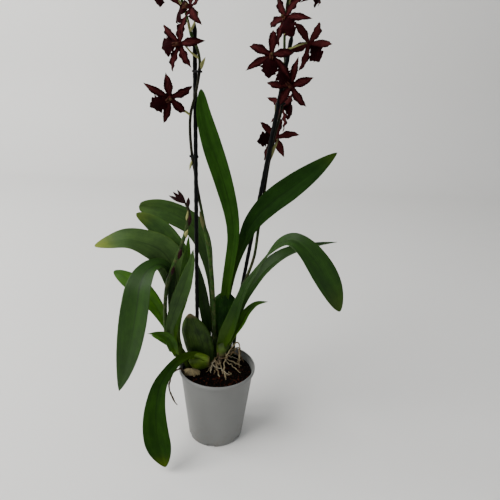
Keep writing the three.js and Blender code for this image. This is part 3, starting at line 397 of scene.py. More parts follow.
# Colours of small parts and marks, beside those that can be changed

SCAR = tone(104, 92, 66)
DARK_BULB = tone(20, 54, 8)
OLD_HUSK = tone(150, 134, 94)
OLD_HUSK_PALE = tone(186, 174, 136)
SHOOT = tone(58, 82, 22)
SHOOT_DRY = tone(96, 78, 58)
STEM_BARK = tone(108, 90, 64)
STEM_BARK_PALE = tone(150, 134, 100)
# a paler, greyer leaf green for the far left leaf: painted sheen
LEAF_PAINTED_SHEEN = tone(54, 80, 36)
LEAF_BRIGHT = tone(34, 66, 17)
POT_DUST = tone(120, 108, 92)
POT_DROPS = tone(190, 188, 182)
BARK_DUST = tone(112, 102, 80)
ROOT_DEAD = tone(52, 40, 30)
ROOT_WHITE = tone(176, 170, 148)


# Sizes and colours that can be changed


def length(name, description, default):
    """A length in metres, given in millimetres."""
    return bpy.props.FloatProperty(name=name, description=description, default=default * MM,
                                   min=0.0, subtype="DISTANCE", unit="LENGTH")


def colour(name, description, default):
    """A surface colour, given as a screen colour."""
    return bpy.props.FloatVectorProperty(name=name, description=description, subtype="COLOR",
                                         size=3, min=0.0, max=1.0, default=tone(*default))


def count(name, description, default, low, high):
    """A whole number of steps or things."""
    return bpy.props.IntProperty(name=name, description=description, default=default,
                                 min=low, max=high)


class OrchidSizes(bpy.types.PropertyGroup):
    """Sizes that set how fine and how full the pieces are."""
    pot_wall: length("Pot wall", "Thickness of the pot's wall", 1.8)
    pot_rim: length("Pot rim height", "Height of the rolled band at the pot's top", 6.0)
    leaf_thickness: length("Leaf thickness", "Thickness of a leaf at its midrib", 1.0)
    leaf_keel: length("Leaf keel", "How far the midrib stands out under a leaf", 0.7)
    leaf_steps: count("Leaf steps", "Rings along each leaf", 84, 12, 200)
    leaf_columns: count("Leaf columns", "Columns across each leaf", 22, 4, 60)
    petal_thickness: length("Petal thickness", "Thickness of a sepal or petal", 0.8)
    stake_radius: length("Stake radius", "Radius of a plant stake", 3.0)
    spike_radius: length("Spike radius", "Radius of a flower spike at its foot", 2.6)
    stalk_radius: length("Stalk radius", "Radius of a bloom's own stalk", 1.1)
    bark_chips: count("Bark chips", "Loose chips that lie on the mix", 1500, 1, 20000)
    bark_chip: length("Bark chip", "Length of a middling chip", 4.2)


class OrchidColours(bpy.types.PropertyGroup):
    """Surface colours of the plant, its pot and the floor."""
    pot: colour("Pot", "Moulded grey of the pot", (112, 113, 111))
    leaf_deep: colour("Deep leaf", "Darkest leaf's green", (16, 40, 6))
    leaf_dark: colour("Dark leaf", "Old leaves' green", (26, 54, 8))
    leaf_mid: colour("Leaf", "Green of most leaves", (44, 72, 27))
    leaf_fresh: colour("Fresh leaf", "Green of the youngest leaves", (46, 84, 8))
    leaf_tip: colour("Leaf tip", "Yellowed tip", (126, 136, 36))
    bulb: colour("Bulb", "Green of the grown bulb in front", (47, 74, 22))
    sheath: colour("Young sheath", "Bright green of the newest growth", (74, 102, 28))
    husk: colour("Dry husk", "Tan of dry skin and scars", (140, 112, 72))
    spike: colour("Spike", "Dark stem of a flower spike", (32, 31, 17))
    stalk: colour("Stalk", "Pale bracts and flower stalks", (156, 156, 98))
    bloom: colour("Bloom", "Burgundy of sepals and petals", (42, 6, 10))
    bloom_brown: colour("Bloom brown", "Browner middles and backs of the petals", (72, 29, 29))
    lip: colour("Lip", "Deep red of the lip", (32, 2, 5))
    bark: colour("Bark", "Damp bark", (21, 13, 8))
    bark_red: colour("Red bark", "Fresh broken bark", (66, 30, 16))
    root: colour("Root", "Dry root skin", (132, 121, 94))
    stake: colour("Stake", "Black stake and ties", (3, 4, 4))
    floor: colour("Floor", "Plain pale floor and backdrop", (222, 221, 218))


def chosen(context):
    """The sizes and colours that the panel shows."""
    return context.scene.orchid_sizes, context.scene.orchid_colours


# Shader maths

# A colour Mix node's sockets: its factor, the colours under and over, and what comes out
MIX_FACTOR, MIX_UNDER, MIX_OVER, MIX_RESULT = 0, 6, 7, 2


class Value:
    """A socket in a finish. Sums, differences and products of it add Math nodes."""

    def __init__(self, finish, socket):
        self.finish = finish
        self.socket = socket

    def __add__(self, other):
        return self.finish.math("ADD", self, other)

    def __radd__(self, other):
        return self.finish.math("ADD", other, self)

    def __sub__(self, other):
        return self.finish.math("SUBTRACT", self, other)

    def __rsub__(self, other):
        return self.finish.math("SUBTRACT", other, self)

    def __mul__(self, other):
        return self.finish.math("MULTIPLY", self, other)

    def __rmul__(self, other):
        return self.finish.math("MULTIPLY", other, self)

    def __abs__(self):
        return self.finish.math("ABSOLUTE", self)

    def ease(self, low, high):
        """Zero below low, one above high and smooth between."""
        settings = {"interpolation_type": "SMOOTHSTEP"}
        inputs = {"Value": self, "From Min": low, "From Max": high}
        return self.finish.node("ShaderNodeMapRange", settings, inputs)


class Finish:
    """A material whose nodes are written as expressions."""

    def __init__(self, name):
        self.material = bpy.data.materials.new(name)
        self.material.use_nodes = True
        self.tree = self.material.node_tree
        self.shader = self.tree.nodes["Principled BSDF"]

    def node(self, kind, settings=None, inputs=None, out=0):
        """Adds a node: its settings first, then its sockets' numbers, colours or links."""
        node = self.tree.nodes.new(kind)
        for key, value in (settings or {}).items():
            setattr(node, key, value)
        for key, value in (inputs or {}).items():
            self.feed(node.inputs[key], value)
        return Value(self, node.outputs[out])

    def feed(self, socket, value):
        """Gives a socket a link, a colour or a number."""
        if isinstance(value, Value):
            self.tree.links.new(value.socket, socket)
        elif socket.type == "RGBA":
            socket.default_value = (*tuple(value)[:3], 1.0)
        else:
            socket.default_value = value

    def math(self, operation, *values):
        return self.node("ShaderNodeMath", {"operation": operation}, dict(enumerate(values)))

    def waves(self, value):
        """Between zero and one and back, once for every full turn of a value in radians."""
        return self.math("SINE", value) * 0.5 + 0.5

    def numbers(self, *names):
        """Numbers kept on the mesh's points."""
        return [self.node("ShaderNodeAttribute", {"attribute_name": name}, out="Fac")
                for name in names]

    def place(self):
        """A point's place, in metres."""
        return self.node("ShaderNodeTexCoord", out="Object")

    def vector(self, x, y, z):
        return self.node("ShaderNodeCombineXYZ", None, {"X": x, "Y": y, "Z": z})

    def wrapped(self, around, reach, height):
        """A place on a round body, with no seam where the way round it closes."""
        turn = around * (2.0 * math.pi)
        x, y = (self.math(wave, turn) * reach for wave in ("COSINE", "SINE"))
        return self.vector(x, y, height)

    def stretched(self, vector, scale):
        settings = {"operation": "MULTIPLY"}
        return self.node("ShaderNodeVectorMath", settings, {0: vector, 1: scale})

    def noise(self, scale, detail, vector=None, roughness=0.5, distortion=0.0):
        inputs = {"Vector": vector or self.place(), "Scale": scale, "Detail": detail,
                  "Roughness": roughness, "Distortion": distortion}
        return self.node("ShaderNodeTexNoise", None, inputs, out="Fac")

    def specks(self, scale, low, high):
        """One in the middle of scattered specks and zero between them."""
        cells = self.node("ShaderNodeTexVoronoi", None, {"Vector": self.place(), "Scale": scale},
                          out="Distance")
        return 1.0 - cells.ease(low, high)

    def mix(self, factor, under, over):
        settings = {"data_type": "RGBA"}
        inputs = {MIX_FACTOR: factor, MIX_UNDER: under, MIX_OVER: over}
        return self.node("ShaderNodeMix", settings, inputs, out=MIX_RESULT)

    def layers(self, ground, *coats):
        """A ground colour with coats laid over it in turn, each a mask and its colour."""
        for mask, coat in coats:
            ground = self.mix(mask, ground, coat)
        return ground

    def bump(self, height, distance, strength):
        inputs = {"Height": height, "Distance": distance, "Strength": strength}
        return self.node("ShaderNodeBump", None, inputs)

    def wear(self, **sockets):
        """Sets the shader's sockets, whose names have spaces where the keywords have _."""
        for key, value in sockets.items():
            socket = key.replace("_", " ").title().replace("Ior", "IOR")
            self.feed(self.shader.inputs[socket], value)
        return self.material


# Finishes


def leaf_finish(name, base, tip, dull):
    """Leaf green with painted shade in its midrib groove, a paler foot, fine long veins, mottling
    and a ripe tip.
    """
    f = Finish(name)
    along, across, under = f.numbers("along", "across", "under")
    foot, ripe, grown = f.numbers("foot", "ripe", "grown")
    deep = shaded(base, 0.7)
    light = shaded(base, 1.35, 1.22, 1.2)
    pale = [min(1.0, 2.7 * base[0] + 0.012), min(1.0, 2.0 * base[1] + 0.012),
            1.2 * base[2] + 0.002]
    behind = [1.5 * base[0] + 0.002, 1.3 * base[1], 1.3 * base[2]]
    out = abs(across)
    streak = f.vector(along * 4.0 + grown, across * 1.6, under + grown)
    cloud = f.noise(1.5, 5.0, streak, 0.6)
    mottle = f.noise(75.0, 5.0, None, 0.62)
    fine = f.noise(1.0, 3.0, f.stretched(streak, (4.0, 42.0, 1.0)), 0.6)
    vein = f.waves(out * 58.0)
    groove = 1.0 - out.ease(0.015, 0.07)
    end = (along + mottle * 0.06).ease(0.9, 1.05)
    green = f.layers(
        f.mix((cloud * 0.6 + mottle * 0.4).ease(0.36, 0.66), deep, light),
        (fine.ease(0.4, 0.66) * 0.34, deep),
        (vein.ease(0.78, 1.0) * 0.1, light),
        # painted shade: the upper side is darkened along the midrib groove, less towards the tip
        (groove * (1.0 - under) * (1.0 - along.ease(0.6, 1.0)) * 0.55, shaded(deep, 0.45)),
        (groove * under * 0.5, pale),
        (foot * (0.4 + fine * 0.4), pale),
        (f.specks(520.0, 0.05, 0.13) * 0.14, pale),
        (under * 0.3, behind),
        (out.ease(0.94, 1.0) * 0.35, pale),
        (end * ripe, tip))
    rough = 0.42 + dull + cloud * 0.14 + under * 0.14 + fine * 0.06
    relief = vein * 0.4 + fine * 0.5 + f.noise(420.0, 2.0) * 0.5 - groove * 0.8
    return f.wear(base_color=green, roughness=rough, normal=f.bump(relief, 0.00035, 0.5),
                  specular_ior_level=0.16 - 0.6 * dull)


def bulb_finish(name, base, dry, scar, streaks, gloss=0.2, husk=0.8):
    """Bulb skin: long wrinkles, mottled green, a dry scar at the top and husks at the foot."""
    f = Finish(name)
    along, around = f.numbers("along", "around")
    lines = f.noise(1.8, 4.0, f.wrapped(around, 3.4, along * 1.3), 0.62, 0.9)
    cloud = f.noise(55.0, 4.0)
    deep = shaded(base, 0.55)
    top = (along + cloud * 0.1).ease(scar, scar + 0.07)
    foot = 1.0 - (along + lines * 0.16).ease(0.06, 0.24)
    skin = f.layers(
        f.mix(cloud.ease(0.32, 0.7), deep, shaded(base, 1.6, 1.4, 1.3)),
        (lines.ease(0.47, 0.6) * (0.75 * streaks), shaded(deep, 0.5)),
        ((1.0 - lines.ease(0.34, 0.44)) * (0.4 * streaks), shaded(base, 2.0, 1.7, 1.5)),
        (f.specks(260.0, 0.04, 0.22) * cloud.ease(0.45, 0.75) * 0.6, dry),
        (top, dry),
        (foot * husk, dry))
    relief = lines + f.noise(380.0, 3.0) * 0.25
    return f.wear(base_color=skin, roughness=0.42 + top * 0.4 + lines * 0.2,
                  normal=f.bump(relief, 0.0009, 0.6), specular_ior_level=gloss)


def husk_finish(name, base, pale):
    """Dry papery skin in long fibres."""
    f = Finish(name)
    along, around = f.numbers("along", "around")
    fibre = f.noise(1.0, 5.0, f.wrapped(around, 6.0, along * 1.6), 0.65)
    cloud = f.noise(130.0, 4.0)
    skin = f.layers(
        f.mix(fibre.ease(0.34, 0.68), shaded(base, 0.42), base),
        (cloud.ease(0.5, 0.78) * 0.55, pale))
    return f.wear(base_color=skin, roughness=0.7 + fibre * 0.2,
                  normal=f.bump(fibre + cloud * 0.4, 0.0008, 0.8))


def spike_finish(name, colours):
    """Olive stems, dark in their middles, with pale bracts and stalks, and dark buds."""
    f = Finish(name)
    pale, bud, along, fresh = f.numbers("pale", "bud", "along", "fresh")
    cloud = f.noise(170.0, 4.0)
    streak = f.noise(1.0, 3.0, f.stretched(f.place(), (900.0, 900.0, 60.0)))
    blotch = f.noise(70.0, 3.0).ease(0.52, 0.62)
    green = f.mix(cloud.ease(0.45, 0.75), shaded(colours.leaf_mid, 1.2),
                  shaded(colours.stalk, 0.32))
    stem = f.layers(
        f.mix(cloud.ease(0.35, 0.7), shaded(colours.spike, 0.45), colours.spike),
        (streak.ease(0.56, 0.8) * 0.25, shaded(colours.stalk, 0.3)),
        (fresh * (1.0 - streak.ease(0.6, 0.8) * 0.4 - blotch * 0.5), green))
    light = f.layers(
        f.mix(cloud.ease(0.3, 0.75) * 0.5, colours.stalk, shaded(colours.stalk, 0.5)),
        (streak.ease(0.45, 0.8) * 0.35, shaded(colours.leaf_fresh, 0.55)))
    red = f.mix(cloud.ease(0.45, 0.75), shaded(colours.bloom, 0.5),
                shaded(colours.bloom_brown, 0.3))
    skin = f.layers(
        stem,
        (pale, light),
        (bud, red),
        (along.ease(0.8, 1.0) * bud * 0.4, shaded(colours.bloom, 0.5)))
    return f.wear(base_color=skin, roughness=0.44 + streak * 0.2,
                  normal=f.bump(streak + cloud * 0.3, 0.0003, 0.6), specular_ior_level=0.1)


def bloom_finish(name, colours, shift):
    """Velvety burgundy, browner in the middle and behind, with dark veins and a red lip."""
    f = Finish(name)
    along, across, under, lip, heart = f.numbers("along", "across", "under", "lip", "heart")
    out = abs(across)
    grain = f.vector(along * 2.6 + shift, across * 3.2, lip * 3.0 + under)
    cloud = f.noise(2.0, 4.0, grain, 0.6)
    veins = f.waves(across * 20.0 + f.noise(1.6, 2.0, grain) * 2.0)
    deep = shaded(colours.bloom, 0.42)
    middle = 1.0 - out.ease(0.1, 0.8)
    tepal = f.layers(
        f.mix(cloud.ease(0.36, 0.68), deep, colours.bloom),
        (veins.ease(0.55, 1.0) * 0.6, deep),
        (middle * (cloud.ease(0.35, 0.6) * 0.5 + 0.15), colours.bloom_brown),
        (under * 0.55, shaded(colours.bloom_brown, 0.8)),
        (out.ease(0.6, 0.95) * 0.8, shaded(deep, 0.5)),
        (along.ease(0.95, 1.0) * 0.2, shaded(colours.stalk, 0.4)))
    red = f.layers(
        f.mix(cloud.ease(0.3, 0.7), shaded(colours.lip, 0.4), colours.lip),
        (veins.ease(0.5, 1.0) * 0.35, deep))
    crest = f.mix(cloud.ease(0.4, 0.6), shaded(colours.stalk, 0.6), colours.bloom_brown)
    petal = f.layers(tepal, (lip, red), (heart, crest))
    return f.wear(base_color=petal, roughness=0.66 + cloud * 0.2,
                  normal=f.bump(veins * 0.7 + f.noise(700.0, 2.0) * 0.5, 0.0003, 0.6),
                  specular_ior_level=0.03)


def pot_finish(name, base):
    """Moulded grey plastic with faint turning lines, a dusty foot and splashed specks."""
    f = Finish(name)
    place = f.place()
    height = f.node("ShaderNodeSeparateXYZ", None, {0: place}, out="Z")
    cloud = f.noise(16.0, 4.0)
    fine = f.noise(900.0, 2.0)
    rings = f.noise(1.0, 2.0, f.stretched(place, (6.0, 6.0, 700.0)))
    dust = (1.0 - height.ease(0.002, 0.05)) * f.noise(90.0, 5.0, None, 0.7).ease(0.45, 0.7)
    grey = f.layers(
        f.mix(cloud.ease(0.3, 0.75), shaded(base, 0.93), shaded(base, 1.05)),
        (rings.ease(0.55, 0.8) * 0.12, shaded(base, 1.25)),
        (dust * 0.3, POT_DUST),
        (f.specks(130.0, 0.03, 0.09) * cloud.ease(0.45, 0.6) * 0.25, POT_DROPS))
    return f.wear(base_color=grey, roughness=0.42 + cloud * 0.14 + dust * 0.2,
                  normal=f.bump(rings * 0.5 + fine * 0.3, 0.00025, 0.4), specular_ior_level=0.4)


def bark_finish(name, colours):
    """Damp bark: each chip has its own shade, with fibres and pale dust."""
    f = Finish(name)
    [shade] = f.numbers("shade")
    fibre = f.noise(1.0, 5.0, f.stretched(f.place(), (500.0, 900.0, 1500.0)), 0.6)
    cloud = f.noise(160.0, 4.0)
    chip = f.layers(
        f.mix(shade.ease(0.35, 0.8), shaded(colours.bark, 0.35), colours.bark),
        (shade.ease(0.74, 0.92) * 0.8, colours.bark_red),
        (fibre.ease(0.5, 0.75) * 0.4, shaded(colours.bark, 1.6)),
        (cloud.ease(0.64, 0.82) * 0.12, BARK_DUST))
    return f.wear(base_color=chip, roughness=0.84 + fibre * 0.12,
                  normal=f.bump(fibre + cloud * 0.4, 0.0008, 0.8), specular_ior_level=0.06)


def root_finish(name, base):
    """Corky root skin. dry is below 0 on white roots, up to 1 on brown and more on dead ones."""
    f = Finish(name)
    [dry] = f.numbers("dry")
    cloud = f.noise(170.0, 5.0, None, 0.65)
    fine = f.noise(1200.0, 3.0)
    skin = f.layers(
        f.mix(cloud.ease(0.42, 0.66), base, shaded(base, 0.5, 0.42, 0.36)),
        (fine.ease(0.5, 0.8) * 0.3, shaded(base, 1.25)),
        (dry.ease(0.0, 1.0) * 0.85, shaded(base, 0.36, 0.28, 0.2)),
        (dry.ease(1.0, 1.5) * 0.7, ROOT_DEAD),
        ((dry * -1.0).ease(0.4, 1.0) * 0.6, ROOT_WHITE))
    return f.wear(base_color=skin, roughness=0.72 + cloud * 0.2,
                  normal=f.bump(cloud + fine * 0.6, 0.0006, 0.8), specular_ior_level=0.15)


def stake_finish(name, base):
    """Black plastic with a fine drawn grain and dull handling marks."""
    f = Finish(name)
    grain = f.noise(1.0, 3.0, f.stretched(f.place(), (1500.0, 1500.0, 45.0)))
    dull = f.noise(60.0, 4.0)
    black = f.mix(dull.ease(0.45, 0.75), base, [1.8 * level + 0.001 for level in base])
    return f.wear(base_color=black, roughness=0.34 + dull * 0.25,
                  normal=f.bump(grain, 0.0002, 0.5), specular_ior_level=0.09)


def floor_finish(name, base):
    """Pale matt floor, a little clouded."""
    f = Finish(name)
    pale = f.mix(f.noise(3.0, 3.0), shaded(base, 0.985), shaded(base, 1.01))
    return f.wear(base_color=pale, roughness=0.62, specular_ior_level=0.25)


# Shaping functions

LINE_STEPS = 80  # points in a route's line for each of its spans
NEAR = 0.004  # share of a route over which its heading is taken


class Route:
    """A smooth line through points, read at shares of its length."""

    def __init__(self, points):
        inner = np.array(points, float)
        knots = np.vstack([2 * inner[0] - inner[1], inner, 2 * inner[-1] - inner[-2]])
        spans = len(inner) - 1
        place = np.linspace(0, spans, LINE_STEPS * spans + 1)
        span = np.minimum(place.astype(int), spans - 1)
        share = (place - span)[:, None]
        before, start, end, after = (knots[span + i] for i in range(4))
        leave = 0.5 * (end - before)
        arrive = 0.5 * (after - start)
        bend = 3 * (end - start) - 2 * leave - arrive
        twist = 2 * (start - end) + leave + arrive
        self.line = start + leave * share + bend * share ** 2 + twist * share ** 3
        steps = np.linalg.norm(np.diff(self.line, axis=0), axis=1)
        self.travel = np.concatenate([[0], np.cumsum(steps)])
        self.length = self.travel[-1]

    def at(self, shares):
        want = np.clip(np.asarray(shares, float), 0, 1) * self.length
        return np.stack([np.interp(want, self.travel, self.line[:, i]) for i in range(3)], axis=-1)

    def heading(self, shares):
        shares = np.asarray(shares, float)
        return unit(self.at(shares + NEAR) - self.at(shares - NEAR))

    def nearest(self, z):
        """Which point of the line is nearest to a height."""
        return np.argmin(np.abs(self.line[:, 2] - z))

    def at_height(self, z):
        return self.line[self.nearest(z)]

    def share_at_height(self, z):
        return self.travel[self.nearest(z)] / self.length


def unit(vectors):
    """Vectors made one long."""
    vectors = np.asarray(vectors, float)
    return vectors / np.maximum(np.linalg.norm(vectors, axis=-1, keepdims=True), 1e-9)


def smooth(value, low, high):
    """Zero below low, one above high and smooth between."""
    share = np.clip((np.asarray(value, float) - low) / (high - low), 0, 1)
    return share * share * (3 - 2 * share)


def ripple(points, scale, seed):
    """A smooth, lumpy number between about -1 and 1 for each point."""
    x, y, z = (np.asarray(points, float)[..., i] / scale for i in range(3))
    first = np.sin(1.7 * x + 2.3 * y + seed) * np.cos(1.9 * z - 1.3 * y + 1.7 * seed)
    second = np.sin(2.9 * z + 3.7 * x + 2.1 * seed) * np.cos(3.1 * y - 2.3 * x + seed)
    third = np.sin(5.3 * x - 4.1 * z + seed) * np.sin(4.7 * y + 5.9 * z + 2 * seed)
    return 0.5 * first + 0.33 * second + 0.17 * third


def full_turn(sides):
    """Even angles once round."""
    return 2 * np.pi * np.arange(sides) / sides


def shares_in(steps):
    """Even shares from zero to one."""
    return np.linspace(0, 1, steps + 1)


def scatter(seed):
    """Random draws that come out the same each time."""
    return np.random.default_rng(seed)


class Shape:
    """Closed skins in millimetres, gathered with the numbers that their finish reads."""

    def __init__(self, *numbers):
        self.numbers = {name: [] for name in numbers}
        self.points = []
        self.faces = []
        self.total = 0

    def corners(self, points, numbers):
        """Adds points with their numbers, and gives the place of the first one in the list."""
        points = np.asarray(points, float).reshape(-1, 3)
        self.points.append(points)
        for name, kept in self.numbers.items():
            value = np.asarray(numbers.get(name, 0.0), float).reshape(-1)
            kept.append(np.broadcast_to(value, len(points)))
        first = self.total
        self.total += len(points)
        return first

    def rings(self, rings, caps="fan", **numbers):
        """Joins each ring of points to the next.

        The ends are closed by a fan about a middle point, by pairs of near and far points where
        the rings are thin, or not at all where the last ring is the first one again.
        """
        many, around = rings.shape[:2]
        spread = {name: np.broadcast_to(value, (many, around)) for name, value in numbers.items()}
        first = self.corners(rings, spread)
        here = first + np.arange(many * around).reshape(many, around)
        beside = np.roll(here, -1, axis=1)
        quads = np.stack([here[:-1], beside[:-1], beside[1:], here[1:]], axis=-1)
        self.faces.extend(map(tuple, quads.reshape(-1, 4).tolist()))
        for row, last in ((0, False), (-1, True)):
            ring = here[row].tolist()
            if caps == "pairs":
                closing = [(ring[k], ring[-1 - k], ring[-2 - k], ring[k + 1])
                           for k in range(around // 2 - 1)]
                self.faces.extend(face[::-1] if last else face for face in closing)
            elif caps == "fan":
                middle = {name: value[row].mean() for name, value in spread.items()}
                centre = self.corners(rings[row].mean(axis=0), middle)
                for a, b in zip(ring, ring[1:] + ring[:1]):
                    self.faces.append((centre, a, b) if last else (centre, b, a))

    def tube(self, route, radius, sides, shares, **numbers):
        """A tube along a route. Its radius and numbers are one, or one for each share."""
        route = route if isinstance(route, Route) else Route(route)
        centre, along = route.at(shares), route.heading(shares)
        aside = (0.31, 0.17, 0.93) if abs(along[0][2]) < 0.9 else (1, 0.2, 0)
        across = np.cross(along[0], aside)
        first = []
        for direction in along:
            across = across - direction * np.dot(across, direction)
            across = across / np.linalg.norm(across)
            first.append(across)
        first = np.array(first)[:, None]
        second = np.cross(along, first[:, 0])[:, None]
        turn = full_turn(sides)[None, :, None]
        radius = np.broadcast_to(radius, len(shares))[:, None, None]
        out = first * np.cos(turn) + second * np.sin(turn)
        columns = {name: np.broadcast_to(value, len(shares))[:, None]
                   for name, value in numbers.items()}
        self.rings(centre[:, None] + radius * out, **columns)

    def object(self, name, finish, smoothing=True):
        """Makes the skins one object of a name, with its finish."""
        mesh = bpy.data.meshes.new(name)
        mesh.from_pydata((np.concatenate(self.points) * MM).tolist(), [], self.faces)
        for key, kept in self.numbers.items():
            layer = mesh.attributes.new(key, "FLOAT", "POINT")
            layer.data.foreach_set("value", np.concatenate(kept).astype(np.float32))
        mesh.polygons.foreach_set("use_smooth", [smoothing] * len(mesh.polygons))
        mesh.materials.append(finish)
        return placed(name, mesh)


def placed(name, data):
    """An object of a mesh, light or camera, linked to the scene."""
    thing = bpy.data.objects.new(name, data)
    bpy.context.scene.collection.objects.link(thing)
    return thing


def dress(piece, node):
    """Puts a finished piece on the frame in place of its solid."""
    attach(piece, "root")
    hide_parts(node)


def relative_width(t, form):
    """Share of a blade's full width: foot to neck, out to the widest place, then in to the tip."""
    neck, hold, widest = form["neck"], form["hold"], form["widest"]
    low = neck + (1 - neck) * smooth(t, hold, widest)
    if "foot" in form:
        low = np.where(t < hold, form["foot"] + (neck - form["foot"]) * smooth(t, 0, hold), low)
        low = low * (1 - form.get("pinch", 0) * (1 - smooth(t, 0, 0.07)))
    beyond = np.clip((t - widest) / (1 - widest), 0, 1)
    return np.where(t < widest, low, np.cos(0.5 * np.pi * beyond) ** form["taper"])


CROWDING = 1.2  # how much a blade's rings crowd towards its tip
FOLD_END = 0.45  # how far along a blade its foot's fold has opened
EDGE_PHASES = (2.4, 0.6)  # where the waves of its two edges start, in radians
PLEATS = 4.5  # pleats in each half of a leaf


def blade_rings(form, steps, columns, thickness, keel=0.0, tip=0.5, teeth=0.0, notches=9.5,
                pleats=0.0, crease=0.14):
    """Rings of a folded, waved blade, with each point's share along, across and under it.

    keel is how far its midrib stands out behind, tip its least width, teeth how deep its edges are
    notched, pleats how high its pleats are, and crease how round the bottom of its fold is.
    """
    route = Route(form["route"])
    t = 1 - (1 - shares_in(steps)) ** CROWDING
    centre, along = route.at(t), route.heading(t)
    faces = np.array(form["faces"], float)
    turn = t * (len(faces) - 1)
    first = np.minimum(turn.astype(int), len(faces) - 2)
    normal = faces[first] + (faces[first + 1] - faces[first]) * (turn - first)[:, None]
    normal = unit(normal - along * np.sum(normal * along, axis=1, keepdims=True))
    side = np.cross(along, normal)

    u = np.linspace(-1, 1, columns + 1)[None]
    out = np.abs(u)
    half = 0.5 * np.maximum(form["width"] * relative_width(t, form), tip)[:, None]
    folded, flat = form["fold"]
    angle = np.radians(flat + (folded - flat) * np.maximum(0, 1 - t / FOLD_END) ** 2)[:, None]
    valley = np.maximum(np.sqrt(u * u + crease ** 2) - crease, 0)
    valley = valley / (math.sqrt(1 + crease ** 2) - crease)
    swell = (form["wave"] * np.sqrt(np.maximum(np.sin(np.pi * t), 0)))[:, None]
    left, right = EDGE_PHASES
    phase = 2 * np.pi * form["waves"] * t[:, None] + np.where(u > 0, right, left)
    lift = valley * half * np.sin(angle) + swell * u * u * np.sin(phase)
    lift = lift + pleats * np.cos(2 * np.pi * PLEATS * out) * (1 - out) * smooth(half, 2, 8)
    spread = u * half * np.cos(angle)
    if teeth:
        notch = np.sin(2 * np.pi * notches * t[:, None] + 1.3 * np.sign(u))
        spread = spread * (1 + teeth * notch * out ** 3)
    middle = centre[:, None] + side[:, None] * spread[..., None]
    middle = middle + normal[:, None] * lift[..., None]

    left_of_tip = 1 - t
    thin = 0.5 * thickness * (1 - 0.62 * out ** 3)
    thin = thin * (0.55 + 0.45 * smooth(left_of_tip, 0, 0.08)[:, None])
    rise = thin / np.cos(angle)
    fall = rise + keel * np.exp(-(u / 0.09) ** 2) * smooth(left_of_tip, 0.02, 0.5)[:, None]
    upper = middle + normal[:, None] * rise[..., None]
    lower = middle - normal[:, None] * fall[..., None]
    rings = np.concatenate([upper, lower[:, ::-1]], axis=1)
    across = np.broadcast_to(np.concatenate([u[0], u[0, ::-1]]), rings.shape[:2])
    under = np.broadcast_to(np.repeat([0.0, 1.0], columns + 1), rings.shape[:2])
    return rings, dict(along=t[:, None], across=across, under=under)


# Pieces


class OrchidPiece:
    """What the operators share."""
    bl_options = {"REGISTER", "UNDO"}


def inner_radius(z, sizes):
    """The pot's inner radius at a height."""
    wall = sizes.pot_wall / MM
    low, high = WALL_FOOT - wall, WALL_TOP - wall
    return low + (high - low) * z / (POT_HEIGHT - sizes.pot_rim / MM)


def turned(profile, sides):
    """Rings of a profile, given as radius and height, turned round the pot's axis."""
    turn = full_turn(sides)
    radius, height = np.array(profile, float).T
    return np.stack([radius[:, None] * np.cos(turn), radius[:, None] * np.sin(turn),
                     np.broadcast_to(height[:, None], (len(profile), sides))], axis=-1)


def rounded(profile, reach, cuts=4):
    """Softens a profile's corners, except its ends, by the given reach."""
    points = [np.array(point, float) for point in profile]
    soft = [points[0]]
    for before, here, after in zip(points, points[1:], points[2:]):
        back = min(reach, 0.45 * np.linalg.norm(before - here))
        ahead = min(reach, 0.45 * np.linalg.norm(after - here))
        start = here + unit(before - here) * back
        end = here + unit(after - here) * ahead
        for s in shares_in(cuts):
            soft.append((1 - s) ** 2 * start + 2 * s * (1 - s) * here + s * s * end)
    soft.append(points[-1])
    return soft


def pot_profile(sizes):
    """The pot's section: out along its underside, up the wall, over the rim and back inside."""
    top, rim = POT_HEIGHT, RIM_RADIUS
    band = top - sizes.pot_rim / MM
    return [
        (0.5, 0.05), (20, 0.05), (21, 3), (35, 3),
        (36.2, 0), (43, 0), (43.4, 0.9),
        (57.1, band - 0.5), (59.6, band),
        (rim, band + 0.6), (rim, top - 1.6), (rim - 0.9, top - 0.3),
        (59, top), (58, top), (57.4, top - 0.6), (57, band + 1.5),
        (inner_radius(band, sizes), band - 1), (inner_radius(2, sizes), 2.2),
        (37, 1.9), (35.4, 4.8), (20.5, 4.8), (19, 1.9), (0.5, 1.85),
    ]


def drain_cutters():
    """Arches that cut notches through the foot ring, and rods that cut holes in the base."""
    arch = [(-5.5, -3), (5.5, -3), (5.5, 2.6), (4.3, 4), (-4.3, 4), (-5.5, 2.6)]
    first_notch, first_hole = -95, -65
    hole_reach, hole_radius = 28, 4
    cutters = Shape()
    for i in range(DRAINS):
        turn = math.radians(first_notch + 360 / DRAINS * i)
        out = np.array([math.cos(turn), math.sin(turn), 0])
        side = np.array([-math.sin(turn), math.cos(turn), 0])
        rings = [[out * reach + side * a + (0, 0, z) for a, z in arch] for reach in (37.2, 48.0)]
        cutters.rings(np.array(rings))
        turn = math.radians(first_hole + 360 / DRAINS * i)
        x, y = hole_reach * math.cos(turn), hole_reach * math.sin(turn)
        rings = [[(x + hole_radius * math.cos(a), y + hole_radius * math.sin(a), z)
                  for a in full_turn(24)] for z in (-1.0, 9.0)]
        cutters.rings(np.array(rings))
    return cutters


def cut_out(piece, cutter):
    """Cuts one piece out of another and keeps the result as its mesh."""
    cut = piece.modifiers.new("cut", "BOOLEAN")
    cut.operation = "DIFFERENCE"
    cut.solver = "EXACT"
    cut.object = cutter
    graph = bpy.context.evaluated_depsgraph_get()
    mesh = bpy.data.meshes.new_from_object(piece.evaluated_get(graph))
    piece.modifiers.clear()
    piece.data = mesh
    bpy.data.objects.remove(cutter)


